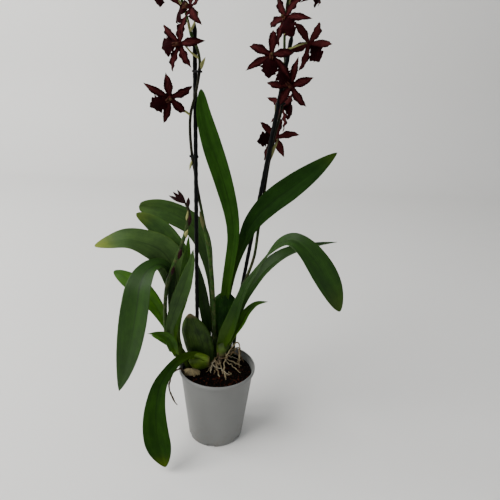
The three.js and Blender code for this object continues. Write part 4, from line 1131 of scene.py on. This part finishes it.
class BuildPot(OrchidPiece, bpy.types.Operator):
    """Turn the grey nursery pot, with its rolled rim, foot notches and drain holes"""
    bl_idname = "orchid.build_pot"
    bl_label = "Pot"

    def execute(self, context):
        sizes, colours = chosen(context)
        finish = pot_finish("pot plastic", colours.pot)
        shape = Shape()
        shape.rings(turned(rounded(pot_profile(sizes), 0.7), 144))
        pot = shape.object("nursery_pot", finish)
        cut_out(pot, drain_cutters().object("pot_cutters", finish))
        pot.data.shade_smooth()
        pot.data.set_sharp_from_angle(angle=math.radians(38))
        dress(pot, "pot")
        return {"FINISHED"}


def bark_chip(rng, size):
    """Rings of a flat, angular chip of a size, tilted at random."""
    corners = rng.integers(5, 8)
    angles = np.sort(rng.uniform(0, 2 * np.pi, corners)) + np.arange(corners) * 0.02
    outline = np.stack([np.cos(angles) * rng.uniform(0.75, 1.1, corners),
                        np.sin(angles) * rng.uniform(0.4, 0.65, corners),
                        rng.uniform(-0.08, 0.08, corners)], axis=-1) * size * 0.5
    thick = size * rng.uniform(0.12, 0.28)
    low = outline * 0.82 - (0, 0, thick)
    high = outline * rng.uniform(0.7, 0.9) + (0, 0, thick * 0.8)
    spin = Matrix.Rotation(rng.uniform(0, 2 * np.pi), 3, "Z")
    tilt = Matrix.Rotation(rng.normal(0, 0.45), 3, "X")
    roll = Matrix.Rotation(rng.normal(0, 0.3), 3, "Y")
    return np.stack([low, outline, high]) @ np.array(spin @ (tilt @ roll)).T


class BuildMix(OrchidPiece, bpy.types.Operator):
    """Fill the pot with dark bark and strew loose chips over it"""
    bl_idname = "orchid.build_mix"
    bl_label = "Potting mix"

    def execute(self, context):
        sizes, colours = chosen(context)
        finish = bark_finish("damp bark", colours)
        bed = Shape("shade")
        radii = np.linspace(inner_radius(MIX_EDGE, sizes) - 0.4, 1.0, 46)
        foot = inner_radius(6, sizes) - 0.6
        profile = [(0.6, MIX_FLOOR), (foot, MIX_FLOOR), (radii[0], MIX_EDGE)]
        rings = turned(profile + [(radius, MIX_TOP) for radius in radii[1:]], 150)
        top = rings[3:]
        lumps = 0.9 * ripple(top, *HILLS) + 0.7 * ripple(top, 3.1, 2.2)
        top[..., 2] += lumps + 0.35 * ripple(top, 1.3, 4.0) - 0.8
        bed.rings(rings, shade=0.25)
        dress(bed.object("bark_bed", finish), "potting_mix")

        rng = scatter(11)
        chips = Shape("shade")
        middling = sizes.bark_chip / MM
        reach = inner_radius(113, sizes) - 3.2
        for _ in range(sizes.bark_chips):
            turn, out = rng.uniform(0, 2 * np.pi), reach * math.sqrt(rng.uniform(0, 1))
            x, y = out * math.cos(turn), out * math.sin(turn)
            rings = bark_chip(rng, middling * rng.uniform(0.45, 1.35))
            hill = 0.8 * float(ripple([x, y, MIX_TOP], *HILLS))
            ground = CHIP_GROUND + hill + rng.uniform(0, 1.1)
            chips.rings(rings + (x, y, ground), shade=rng.uniform(0, 1))
        dress(chips.object("bark_chips", finish, smoothing=False), "potting_mix")
        return {"FINISHED"}


def bulb_rings(form, steps=56, sides=96):
    """Rings of a ribbed, wrinkled bulb, with each point's share up and round it."""
    t = shares_in(steps)
    below = np.maximum(form["widest"] - t, 0) / form["widest"]
    above = np.maximum(t - form["widest"], 0) / (1 - form["widest"])
    full = np.sqrt(1 - (1 - form["waist"] ** 2) * below ** 2)
    full = full * (1 - 0.86 * above ** (1.6 * form["shoulder"]))
    t, full = np.append(t, 1.0), np.append(full, full[-1] * 0.35)
    lift = np.append(np.zeros(steps + 1), 1.2)
    theta, share = np.meshgrid(full_turn(sides), t)
    furrow = 1 - form["rib"] * (1 + np.cos(BULB_RIBS * theta))
    folds = np.sin(19 * theta + 3 * np.sin(5 * share)) + 0.8 * np.sin(31 * theta + 7 * share)
    depth = 0.022 * form["wrinkle"]
    furrow = furrow - depth * (1 + folds) * np.sin(np.pi * np.clip(share, 0.04, 0.96)) ** 0.6
    size = full[:, None] * furrow
    lean = share ** 1.4
    x = size * np.cos(theta) * 0.5 * form["across"] + form["lean"][0] * lean
    y = size * np.sin(theta) * 0.5 * form["through"] + form["lean"][1] * lean
    z = share * form["height"] + lift[:, None]
    rings = np.stack([-z, y, x] if form.get("lying") else [x, y, z], axis=-1)
    return rings + form["foot"], share, theta / (2 * np.pi)


class BuildBulbs(OrchidPiece, bpy.types.Operator):
    """Shape the four bulbs, ribbed and wrinkled, with dry scars where leaves fell"""
    bl_idname = "orchid.build_bulbs"
    bl_label = "Bulbs"

    def execute(self, context):
        _, colours = chosen(context)
        grown = bulb_finish("grown bulb", colours.bulb, SCAR, scar=0.965, streaks=0.7)
        dark = bulb_finish("dark bulb", DARK_BULB, colours.husk, NO_SCAR, streaks=0.4, gloss=0.08)
        young = bulb_finish("young sheath", colours.sheath, shaded(colours.husk, 0.6), NO_SCAR,
                            streaks=0.3, husk=0.5)
        old = husk_finish("dry husk", OLD_HUSK, OLD_HUSK_PALE)
        worn = {"bulb_front": (grown, "bulb"), "bulb_back": (dark, "bulb"),
                "bulb_young": (young, "young_bulb"), "bulb_old": (old, "old_bulb")}
        for name, form in BULBS.items():
            shape = Shape("along", "around")
            rings, along, around = bulb_rings(form)
            shape.rings(rings, along=along, around=around)
            finish, slot = worn[name]
            dress(shape.object(f"{name}_skin", finish), name)
        return {"FINISHED"}


class BuildShoots(OrchidPiece, bpy.types.Operator):
    """Wrap the two leafy growths' bases in sheaths and lay the creeping stem between them"""
    bl_idname = "orchid.build_shoots"
    bl_label = "Shoots"

    def execute(self, context):
        finish = bulb_finish("shoot sheath", SHOOT, SHOOT_DRY, NO_SCAR, streaks=0.4)
        for name, stations in SHOOTS.items():
            centres = Route([at for at, _, _ in stations])
            t = shares_in(40)
            knots = [centres.share_at_height(at[2]) for at, _, _ in stations]
            across = np.interp(t, knots, [wide for _, wide, _ in stations])[:, None]
            through = np.interp(t, knots, [deep for _, _, deep in stations])[:, None]
            theta, share = np.meshgrid(full_turn(72), t)
            wrap = 1 - 0.05 * smooth(np.cos(theta * 3 + 2.5 * share + 0.8), 0.55, 0.75)
            wrap = wrap - 0.012 * np.sin(23 * theta)
            out = np.stack([0.5 * across * wrap * np.cos(theta),
                            0.5 * through * wrap * np.sin(theta),
                            8 * share ** 3 * np.minimum(np.sin(theta + 0.3), 0)], axis=-1)
            foot = 0.3 if name == "shoot_left" else 0.02
            shape = Shape("along", "around")
            shape.rings(centres.at(t)[:, None] + out, along=foot + 0.6 * share,
                        around=theta / (2 * np.pi))
            dress(shape.object(f"{name}_sheath", finish), name)

        bark = husk_finish("creeping stem", STEM_BARK, STEM_BARK_PALE)
        stem = Shape("along", "around")
        t = shares_in(60)
        radius = 4.0 * (1 - 0.12 * (np.sin(2 * np.pi * 7 * t) > 0.55))
        stem.tube(RHIZOME, radius, 28, t, along=t * 0.4)
        dress(stem.object("creeping_stem", bark), "rhizome")
        return {"FINISHED"}


class BuildLeaves(OrchidPiece, bpy.types.Operator):
    """Grow the sixteen leaves: folded at the base, arched, waved and pointed"""
    bl_idname = "orchid.build_leaves"
    bl_label = "Leaves"

    def execute(self, context):
        sizes, colours = chosen(context)
        # the soft look's green is painted sheen, and the shaded look's green is painted shade
        greens = {"deep": colours.leaf_deep, "dark": colours.leaf_dark, "mid": colours.leaf_mid,
                  "soft": LEAF_PAINTED_SHEEN, "bright": LEAF_BRIGHT, "fresh": colours.leaf_fresh,
                  "shaded": shaded(colours.leaf_dark, 0.84)}
        finishes = {look: leaf_finish(f"{look} leaf", green, colours.leaf_tip,
                                      0.2 if look in DULL_LEAVES else 0)
                    for look, green in greens.items()}
        for order, (name, form) in enumerate(LEAVES.items()):
            narrow = form["width"] < 14
            rings, blade = blade_rings(
                form, sizes.leaf_steps // 2 if narrow else sizes.leaf_steps, sizes.leaf_columns,
                sizes.leaf_thickness / MM, keel=sizes.leaf_keel / MM * (0.5 if narrow else 1),
                pleats=0.16)
            pale_foot = 1 - smooth(blade["along"], 0.04, form.get("pale_to", 0.3))
            shape = Shape("along", "across", "under", "foot", "ripe", "grown")
            shape.rings(rings, "pairs", **blade, foot=form.get("pale", 1) * pale_foot,
                        ripe=form.get("ripe", 0.0), grown=1.7 * order)
            dress(shape.object(f"{name}_blade", finishes[form["look"]]), name)
        return {"FINISHED"}


def tie_rings(stake, spike):
    """Rings of a flat loop round a stake and the spike beside it, the last one the first again."""
    reach = 0.5 * np.linalg.norm(stake - spike)
    heading = unit(np.array([spike[0] - stake[0], spike[1] - stake[1], 0]))
    across = np.array([-heading[1], heading[0], 0])
    half = np.linspace(-0.5 * np.pi, 0.5 * np.pi, 17)
    outline = [(math.cos(a), math.sin(a), reach) for a in half]
    outline += [(-x, -y, -offset) for x, y, offset in outline]
    band = [(3.35, -1.0), (3.6, -1.3), (3.9, -1.3), (4.1, -1.0),
            (4.1, 1.0), (3.9, 1.3), (3.6, 1.3), (3.35, 1.0)]
    rings = [[0.5 * (stake + spike) + heading * (offset + x * r) + across * y * r + (0, 0, z)
              for r, z in band] for x, y, offset in outline]
    return np.array(rings + rings[:1])


class BuildStakes(OrchidPiece, bpy.types.Operator):
    """Stand the two black stakes in the mix and ring each spike to its stake"""
    bl_idname = "orchid.build_stakes"
    bl_label = "Stakes and ties"

    def execute(self, context):
        sizes, colours = chosen(context)
        finish = stake_finish("black plastic", colours.stake)
        t = shares_in(180)
        radius = sizes.stake_radius / MM * (1 + 0.05 * np.sin(2 * np.pi * 44 * t))
        radius = radius * np.where(t > 0.994, 0.72, 1) * np.where(t > 0.999, 0.6, 1)
        for side, points in STAKES.items():
            shape = Shape()
            shape.tube(points, radius, 20, t)
            dress(shape.object(f"plant_stake_{side}", finish), f"stake_{side}")
        for name, (side, height) in TIES.items():
            stake = Route(STAKES[side]).at_height(height)
            spike = Route(SPIKES[f"spike_{side}"]).at_height(height)
            shape = Shape()
            shape.rings(tie_rings(stake, spike)[:, ::-1], None)
            dress(shape.object(f"{name}_ring", finish), name)
        return {"FINISHED"}


def stalk_route(name, bloom):
    """The way of a bloom's stalk, from its spike to the back of the bloom."""
    spike = "spike_left" if "left" in name else "spike_right"
    out = unit(bloom["face"])
    end = np.array(bloom["at"], float) - out * 7.0
    before = end - out * 4.0
    start = Route(SPIKES[spike]).at_height(bloom["stem"])
    bend = np.array(bloom["via"], float) if "via" in bloom else 0.5 * (start + before) - (0, 0, 2)
    return [start, bend, before, end]


def spindle(shape, start, end, radius, power):
    """A dark, closed and pointed bud from one point to another."""
    t = np.linspace(0.01, 0.99, 25)
    shape.tube([start, 0.5 * (np.array(start) + np.array(end)), end],
               radius * np.sin(np.pi * t) ** power, 20, t, along=t, bud=1.0)


def draw_stem(shape, name, thick):
    """A spike's stem, thicker at its nodes, where its bracts are."""
    route = Route(SPIKES[name])
    look = STEMS[name]
    t = shares_in(200)
    height = route.at(t)[:, 2]
    swell = look["swell"] * (1 - smooth(height, *look["swell_ends"]))
    radius = thick * (1 + swell) * (1 - 0.35 * t)
    for start, _, _ in BRACTS[name]:
        node = route.share_at_height(start[2])
        radius = radius + 0.45 * np.exp(-((t - node) * route.length / 3.0) ** 2)
    low, high = look["fresh"]
    fresh = low * (1 - smooth(height, 330, 400)) + high * smooth(height, 560, 600)
    shape.tube(route, radius, 14, t, along=t, fresh=fresh)


def draw_bracts(shape, name):
    for place, (start, end, width) in enumerate(BRACTS[name]):
        middle = 0.5 * (np.array(start, float) + end) - (0, 0.8, 0)
        form = dict(route=[start, middle, end], faces=[(0.2, -1, 0.1), (0.2, -1, 0.1)],
                    width=width, neck=0.7, hold=0, widest=0.35, taper=0.9, fold=(-35, -25),
                    wave=0.15, waves=1)
        rings, blade = blade_rings(form, 24, 10, 0.7, tip=0.3, crease=0.5)
        # the first bract is kept darker than the rest: painted shade
        pale = 0.8 if place else STEMS[name]["shaded_first_bract"]
        shape.rings(rings, "pairs", pale=pale, along=blade["along"])


def draw_last_buds(shape, name):
    """The buds at a tall spike's tip, each on a short pale stalk."""
    top = np.array(SPIKES[name][-1], float)
    for *tip, size in SPIKE_BUDS.get(name, []):
        tip = np.array(tip, float)
        away = unit(tip - top)
        heel = tip - away * size
        spindle(shape, heel, tip, 0.24 * size, 0.75)
        stalk = [top, 0.5 * (top + heel), heel + away * 1.5]
        shape.tube(stalk, 0.9, 10, shares_in(10), pale=0.8)


class BuildSpikes(OrchidPiece, bpy.types.Operator):
    """Draw the flower spikes with their bracts, flower stalks and last buds"""
    bl_idname = "orchid.build_spikes"
    bl_label = "Flower spikes"

    def execute(self, context):
        sizes, colours = chosen(context)
        finish = spike_finish("spike skin", colours)
        t = shares_in(40)
        stalk = sizes.stalk_radius / MM * (1.5 - 0.5 * smooth(t, 0.1, 0.6))
        for name in SPIKES:
            shape = Shape("pale", "bud", "along", "fresh")
            draw_stem(shape, name, sizes.spike_radius / MM)
            draw_bracts(shape, name)
            if name == "spike_young":
                for start, end, radius in YOUNG_BUDS:
                    spindle(shape, start, end, radius, 0.9)
            for bloom_name, bloom in BLOOMS.items():
                if bloom_name.replace("bloom", "spike").startswith(name):
                    shape.tube(stalk_route(bloom_name, bloom), stalk, 12, t, pale=0.9,
                               bud=0.8 * smooth(t, 0.6, 0.95), along=t * 0.5)
            draw_last_buds(shape, name)
            dress(shape.object(f"{name}_stem", finish), name)
        return {"FINISHED"}


def bloom_frame(bloom):
    """A bloom's own axes as rows: to its side, to its top and out of its face."""
    out = unit(bloom["face"])
    up = np.array(bloom["top"], float)
    up = unit(up - out * np.dot(up, out))
    return np.stack([np.cross(up, out), up, out])


def tepal_form(rng, angle, long, wide):
    """A pointed tepal that bends back at its tip, a little different each time."""
    turn = math.radians(angle + rng.uniform(-3, 3))
    recurve = 7 + rng.uniform(-2, 2)
    route = [(long * s * math.sin(turn), long * s * math.cos(turn), z)
             for s, z in ((0.06, 0), (0.35, 1.5), (0.7, 0.2), (1, -recurve))]
    return dict(route=route, faces=[(0, 0, 1), (0, 0, 1)], width=wide, foot=0.34, neck=0.6,
                hold=0.1, widest=0.4, taper=1.05, fold=(14, 8), wave=1.2 + rng.uniform(0, 0.5),
                waves=2.6 + rng.uniform(0, 0.8))


class BuildBlooms(OrchidPiece, bpy.types.Operator):
    """Open the blooms: five pointed tepals, a broad toothed lip and a short column"""
    bl_idname = "orchid.build_blooms"
    bl_label = "Blooms"

    def execute(self, context):
        sizes, colours = chosen(context)
        finishes = [bloom_finish("bloom velvet a", colours, 0.0),
                    bloom_finish("bloom velvet b", colours, 3.7)]
        thick = sizes.petal_thickness / MM
        for order, (name, bloom) in enumerate(BLOOMS.items()):
            rng = scatter(50 + order)
            shape = Shape("along", "across", "under", "lip", "heart")
            axes = bloom_frame(bloom)
            for angle, long, wide in TEPALS:
                rings, blade = blade_rings(tepal_form(rng, angle, long, wide), 36, 12, thick,
                                           keel=0.25, tip=0.35, teeth=0.05)
                shape.rings(rings @ axes + bloom["at"], "pairs", **blade)
            rings, blade = blade_rings(LIP, 60, 20, thick, tip=0.4, teeth=0.16, notches=5.5,
                                       crease=0.3)
            shape.rings(rings @ axes + bloom["at"], "pairs", **blade, lip=1.0)
            t = shares_in(24)
            axis = [bloom["at"] + np.array([0, 0, z]) @ axes for z in (-7, -3, 1, 5, 8.5)]
            radius = np.interp(t, *COLUMN)
            shape.tube(axis, radius, 18, t, heart=0.15 * smooth(t, 0.8, 0.97), along=t * 0.5)
            for side in (-1, 1):
                ear = [bloom["at"] + np.array([side * x, y, z]) @ axes for x, y, z in EAR]
                shape.tube(ear, EAR_RADII, 10, EAR_SHARES, heart=0.1)
            dress(shape.object(f"{name}_flower", finishes[order % 2]), name)
        return {"FINISHED"}


def wandered(points, reach, rng):
    """A root's way with small bends in it, its ends kept in place."""
    t = np.linspace(0, 1, 3 * len(points))
    bends = rng.normal(0, reach, (len(t), 3)) * np.minimum(1, 4 * np.sin(np.pi * t))[:, None]
    return Route(points).at(t) + bends


class BuildRoots(OrchidPiece, bpy.types.Operator):
    """Wander the pale roots over the mix and the pot's edge"""
    bl_idname = "orchid.build_roots"
    bl_label = "Roots"

    def execute(self, context):
        _, colours = chosen(context)
        finish = root_finish("corky root", colours.root)
        t = shares_in(60)
        for order, (name, strands) in enumerate(ROOTS.items()):
            rng = scatter(80 + order)
            outside = name == "root_outside"
            shape = Shape("dry")
            for place, (thick, points) in enumerate(strands):
                radius = thick * (1 + 0.1 * np.sin(17 * t + place)
                                  + 0.07 * np.sin(41 * t + 2 * order))
                radius = (1.0 if outside else 0.84) * radius * (1 - 0.45 * smooth(t, 0.85, 1))
                dry = 1.5 if outside else rng.uniform(-1, 1)
                shape.tube(wandered(points, 0.5, rng), radius, 14, t, dry=dry)
            for place, (thick, points) in enumerate(FINE_ROOTS.get(name, [])):
                radius = thick * (1 + 0.14 * np.sin(23 * t + 2 * place) + 0.08 * np.sin(53 * t))
                radius = 0.8 * radius * (1 - 0.5 * smooth(t, 0.85, 1))
                shape.tube(wandered(points, 0.6, rng), radius, 12, t, dry=rng.uniform(-1, 1))
            dress(shape.object(f"{name}_strands", finish), name)
        return {"FINISHED"}


def facing(at, right, up, back):
    """The place and turn of a lamp or camera that looks away from back."""
    turn = Matrix(np.stack([right, up, back], axis=1).tolist())
    return Matrix.Translation(at) @ turn.to_4x4()


def lay_floor(colours):
    """A floor just under the pot that sweeps up into a backdrop."""
    profile = [(FLOOR_FRONT, 0.0)]
    profile += [(SWEEP_START + SWEEP * math.sin(a), SWEEP - SWEEP * math.cos(a))
                for a in np.linspace(0, np.pi / 2, 25)]
    profile += [(SWEEP_START + SWEEP, BACKDROP_TOP)]
    points = [(x, y, z - FLOOR_GAP) for y, z in profile for x in (-FLOOR_REACH, FLOOR_REACH)]
    faces = [(2 * i, 2 * i + 1, 2 * i + 3, 2 * i + 2) for i in range(len(profile) - 1)]
    mesh = bpy.data.meshes.new("floor")
    mesh.from_pydata(points, [], faces)
    mesh.polygons.foreach_set("use_smooth", [True] * len(faces))
    mesh.materials.append(floor_finish("pale floor", colours.floor))
    placed("floor", mesh)


def hang_lamps():
    """Soft light from all round and from three square lamps."""
    world = bpy.data.worlds.new("soft light")
    world.use_nodes = True
    background = world.node_tree.nodes["Background"]
    background.inputs["Color"].default_value = (*AMBIENT_TINT, 1.0)
    background.inputs["Strength"].default_value = AMBIENT_STRENGTH
    bpy.context.scene.world = world
    for name, at, aim, size, power, tint in LAMPS:
        light = bpy.data.lights.new(name, "AREA")
        light.shape = "SQUARE"
        light.size = size
        light.energy = power
        light.color = tint
        back = unit(np.array(at) - np.array(aim))
        right = unit(np.cross((0, 0, 1), back))
        placed(name, light).matrix_world = facing(at, right, np.cross(back, right), back)


def stand_camera():
    """The camera at the angle that it was fitted to."""
    pitch, roll = math.radians(CAMERA_PITCH), math.radians(CAMERA_ROLL)
    ahead = np.array([0, math.cos(pitch), -math.sin(pitch)])
    level = np.array([1.0, 0, 0])
    upward = np.array([0, math.sin(pitch), math.cos(pitch)])
    right = level * math.cos(roll) + upward * math.sin(roll)
    up = -level * math.sin(roll) + upward * math.cos(roll)
    lens = bpy.data.cameras.new("camera")
    lens.sensor_width = CAMERA_SENSOR
    lens.lens = CAMERA_LENS
    camera = placed("camera", lens)
    camera.matrix_world = facing(CAMERA_AT, right, up, -ahead)
    bpy.context.scene.camera = camera


class BuildStage(OrchidPiece, bpy.types.Operator):
    """Set the pale floor, the soft lights and the camera"""
    bl_idname = "orchid.build_stage"
    bl_label = "Floor, lights and camera"

    def execute(self, context):
        _, colours = chosen(context)
        lay_floor(colours)
        hang_lamps()
        stand_camera()
        return {"FINISHED"}


OPERATORS = (BuildPot, BuildMix, BuildBulbs, BuildShoots, BuildLeaves, BuildStakes, BuildSpikes,
             BuildBlooms, BuildRoots, BuildStage)


class OrchidPanel(bpy.types.Panel):
    """Lists the orchid's pieces and the sizes and colours that they use"""
    bl_idname = "VIEW3D_PT_orchid"
    bl_label = "Potted orchid"
    bl_space_type = "VIEW_3D"
    bl_region_type = "UI"
    bl_category = "Orchid"

    def draw(self, context):
        layout = self.layout
        for operator in OPERATORS:
            layout.operator(operator.bl_idname)
        for group in chosen(context):
            box = layout.box()
            for name in group.__annotations__:
                box.prop(group, name)


CLASSES = (OrchidSizes, OrchidColours, *OPERATORS, OrchidPanel)


def register():
    for kind in CLASSES:
        bpy.utils.register_class(kind)
    bpy.types.Scene.orchid_sizes = bpy.props.PointerProperty(type=OrchidSizes)
    bpy.types.Scene.orchid_colours = bpy.props.PointerProperty(type=OrchidColours)


def unregister():
    del bpy.types.Scene.orchid_colours
    del bpy.types.Scene.orchid_sizes
    for kind in reversed(CLASSES):
        bpy.utils.unregister_class(kind)


def main():
    register()
    bpy.ops.orchid.build_stage()
    bpy.ops.orchid.build_pot()
    bpy.ops.orchid.build_mix()
    bpy.ops.orchid.build_bulbs()
    bpy.ops.orchid.build_shoots()
    bpy.ops.orchid.build_leaves()
    bpy.ops.orchid.build_stakes()
    bpy.ops.orchid.build_spikes()
    bpy.ops.orchid.build_blooms()
    bpy.ops.orchid.build_roots()


if __name__ == "__main__":
    main()
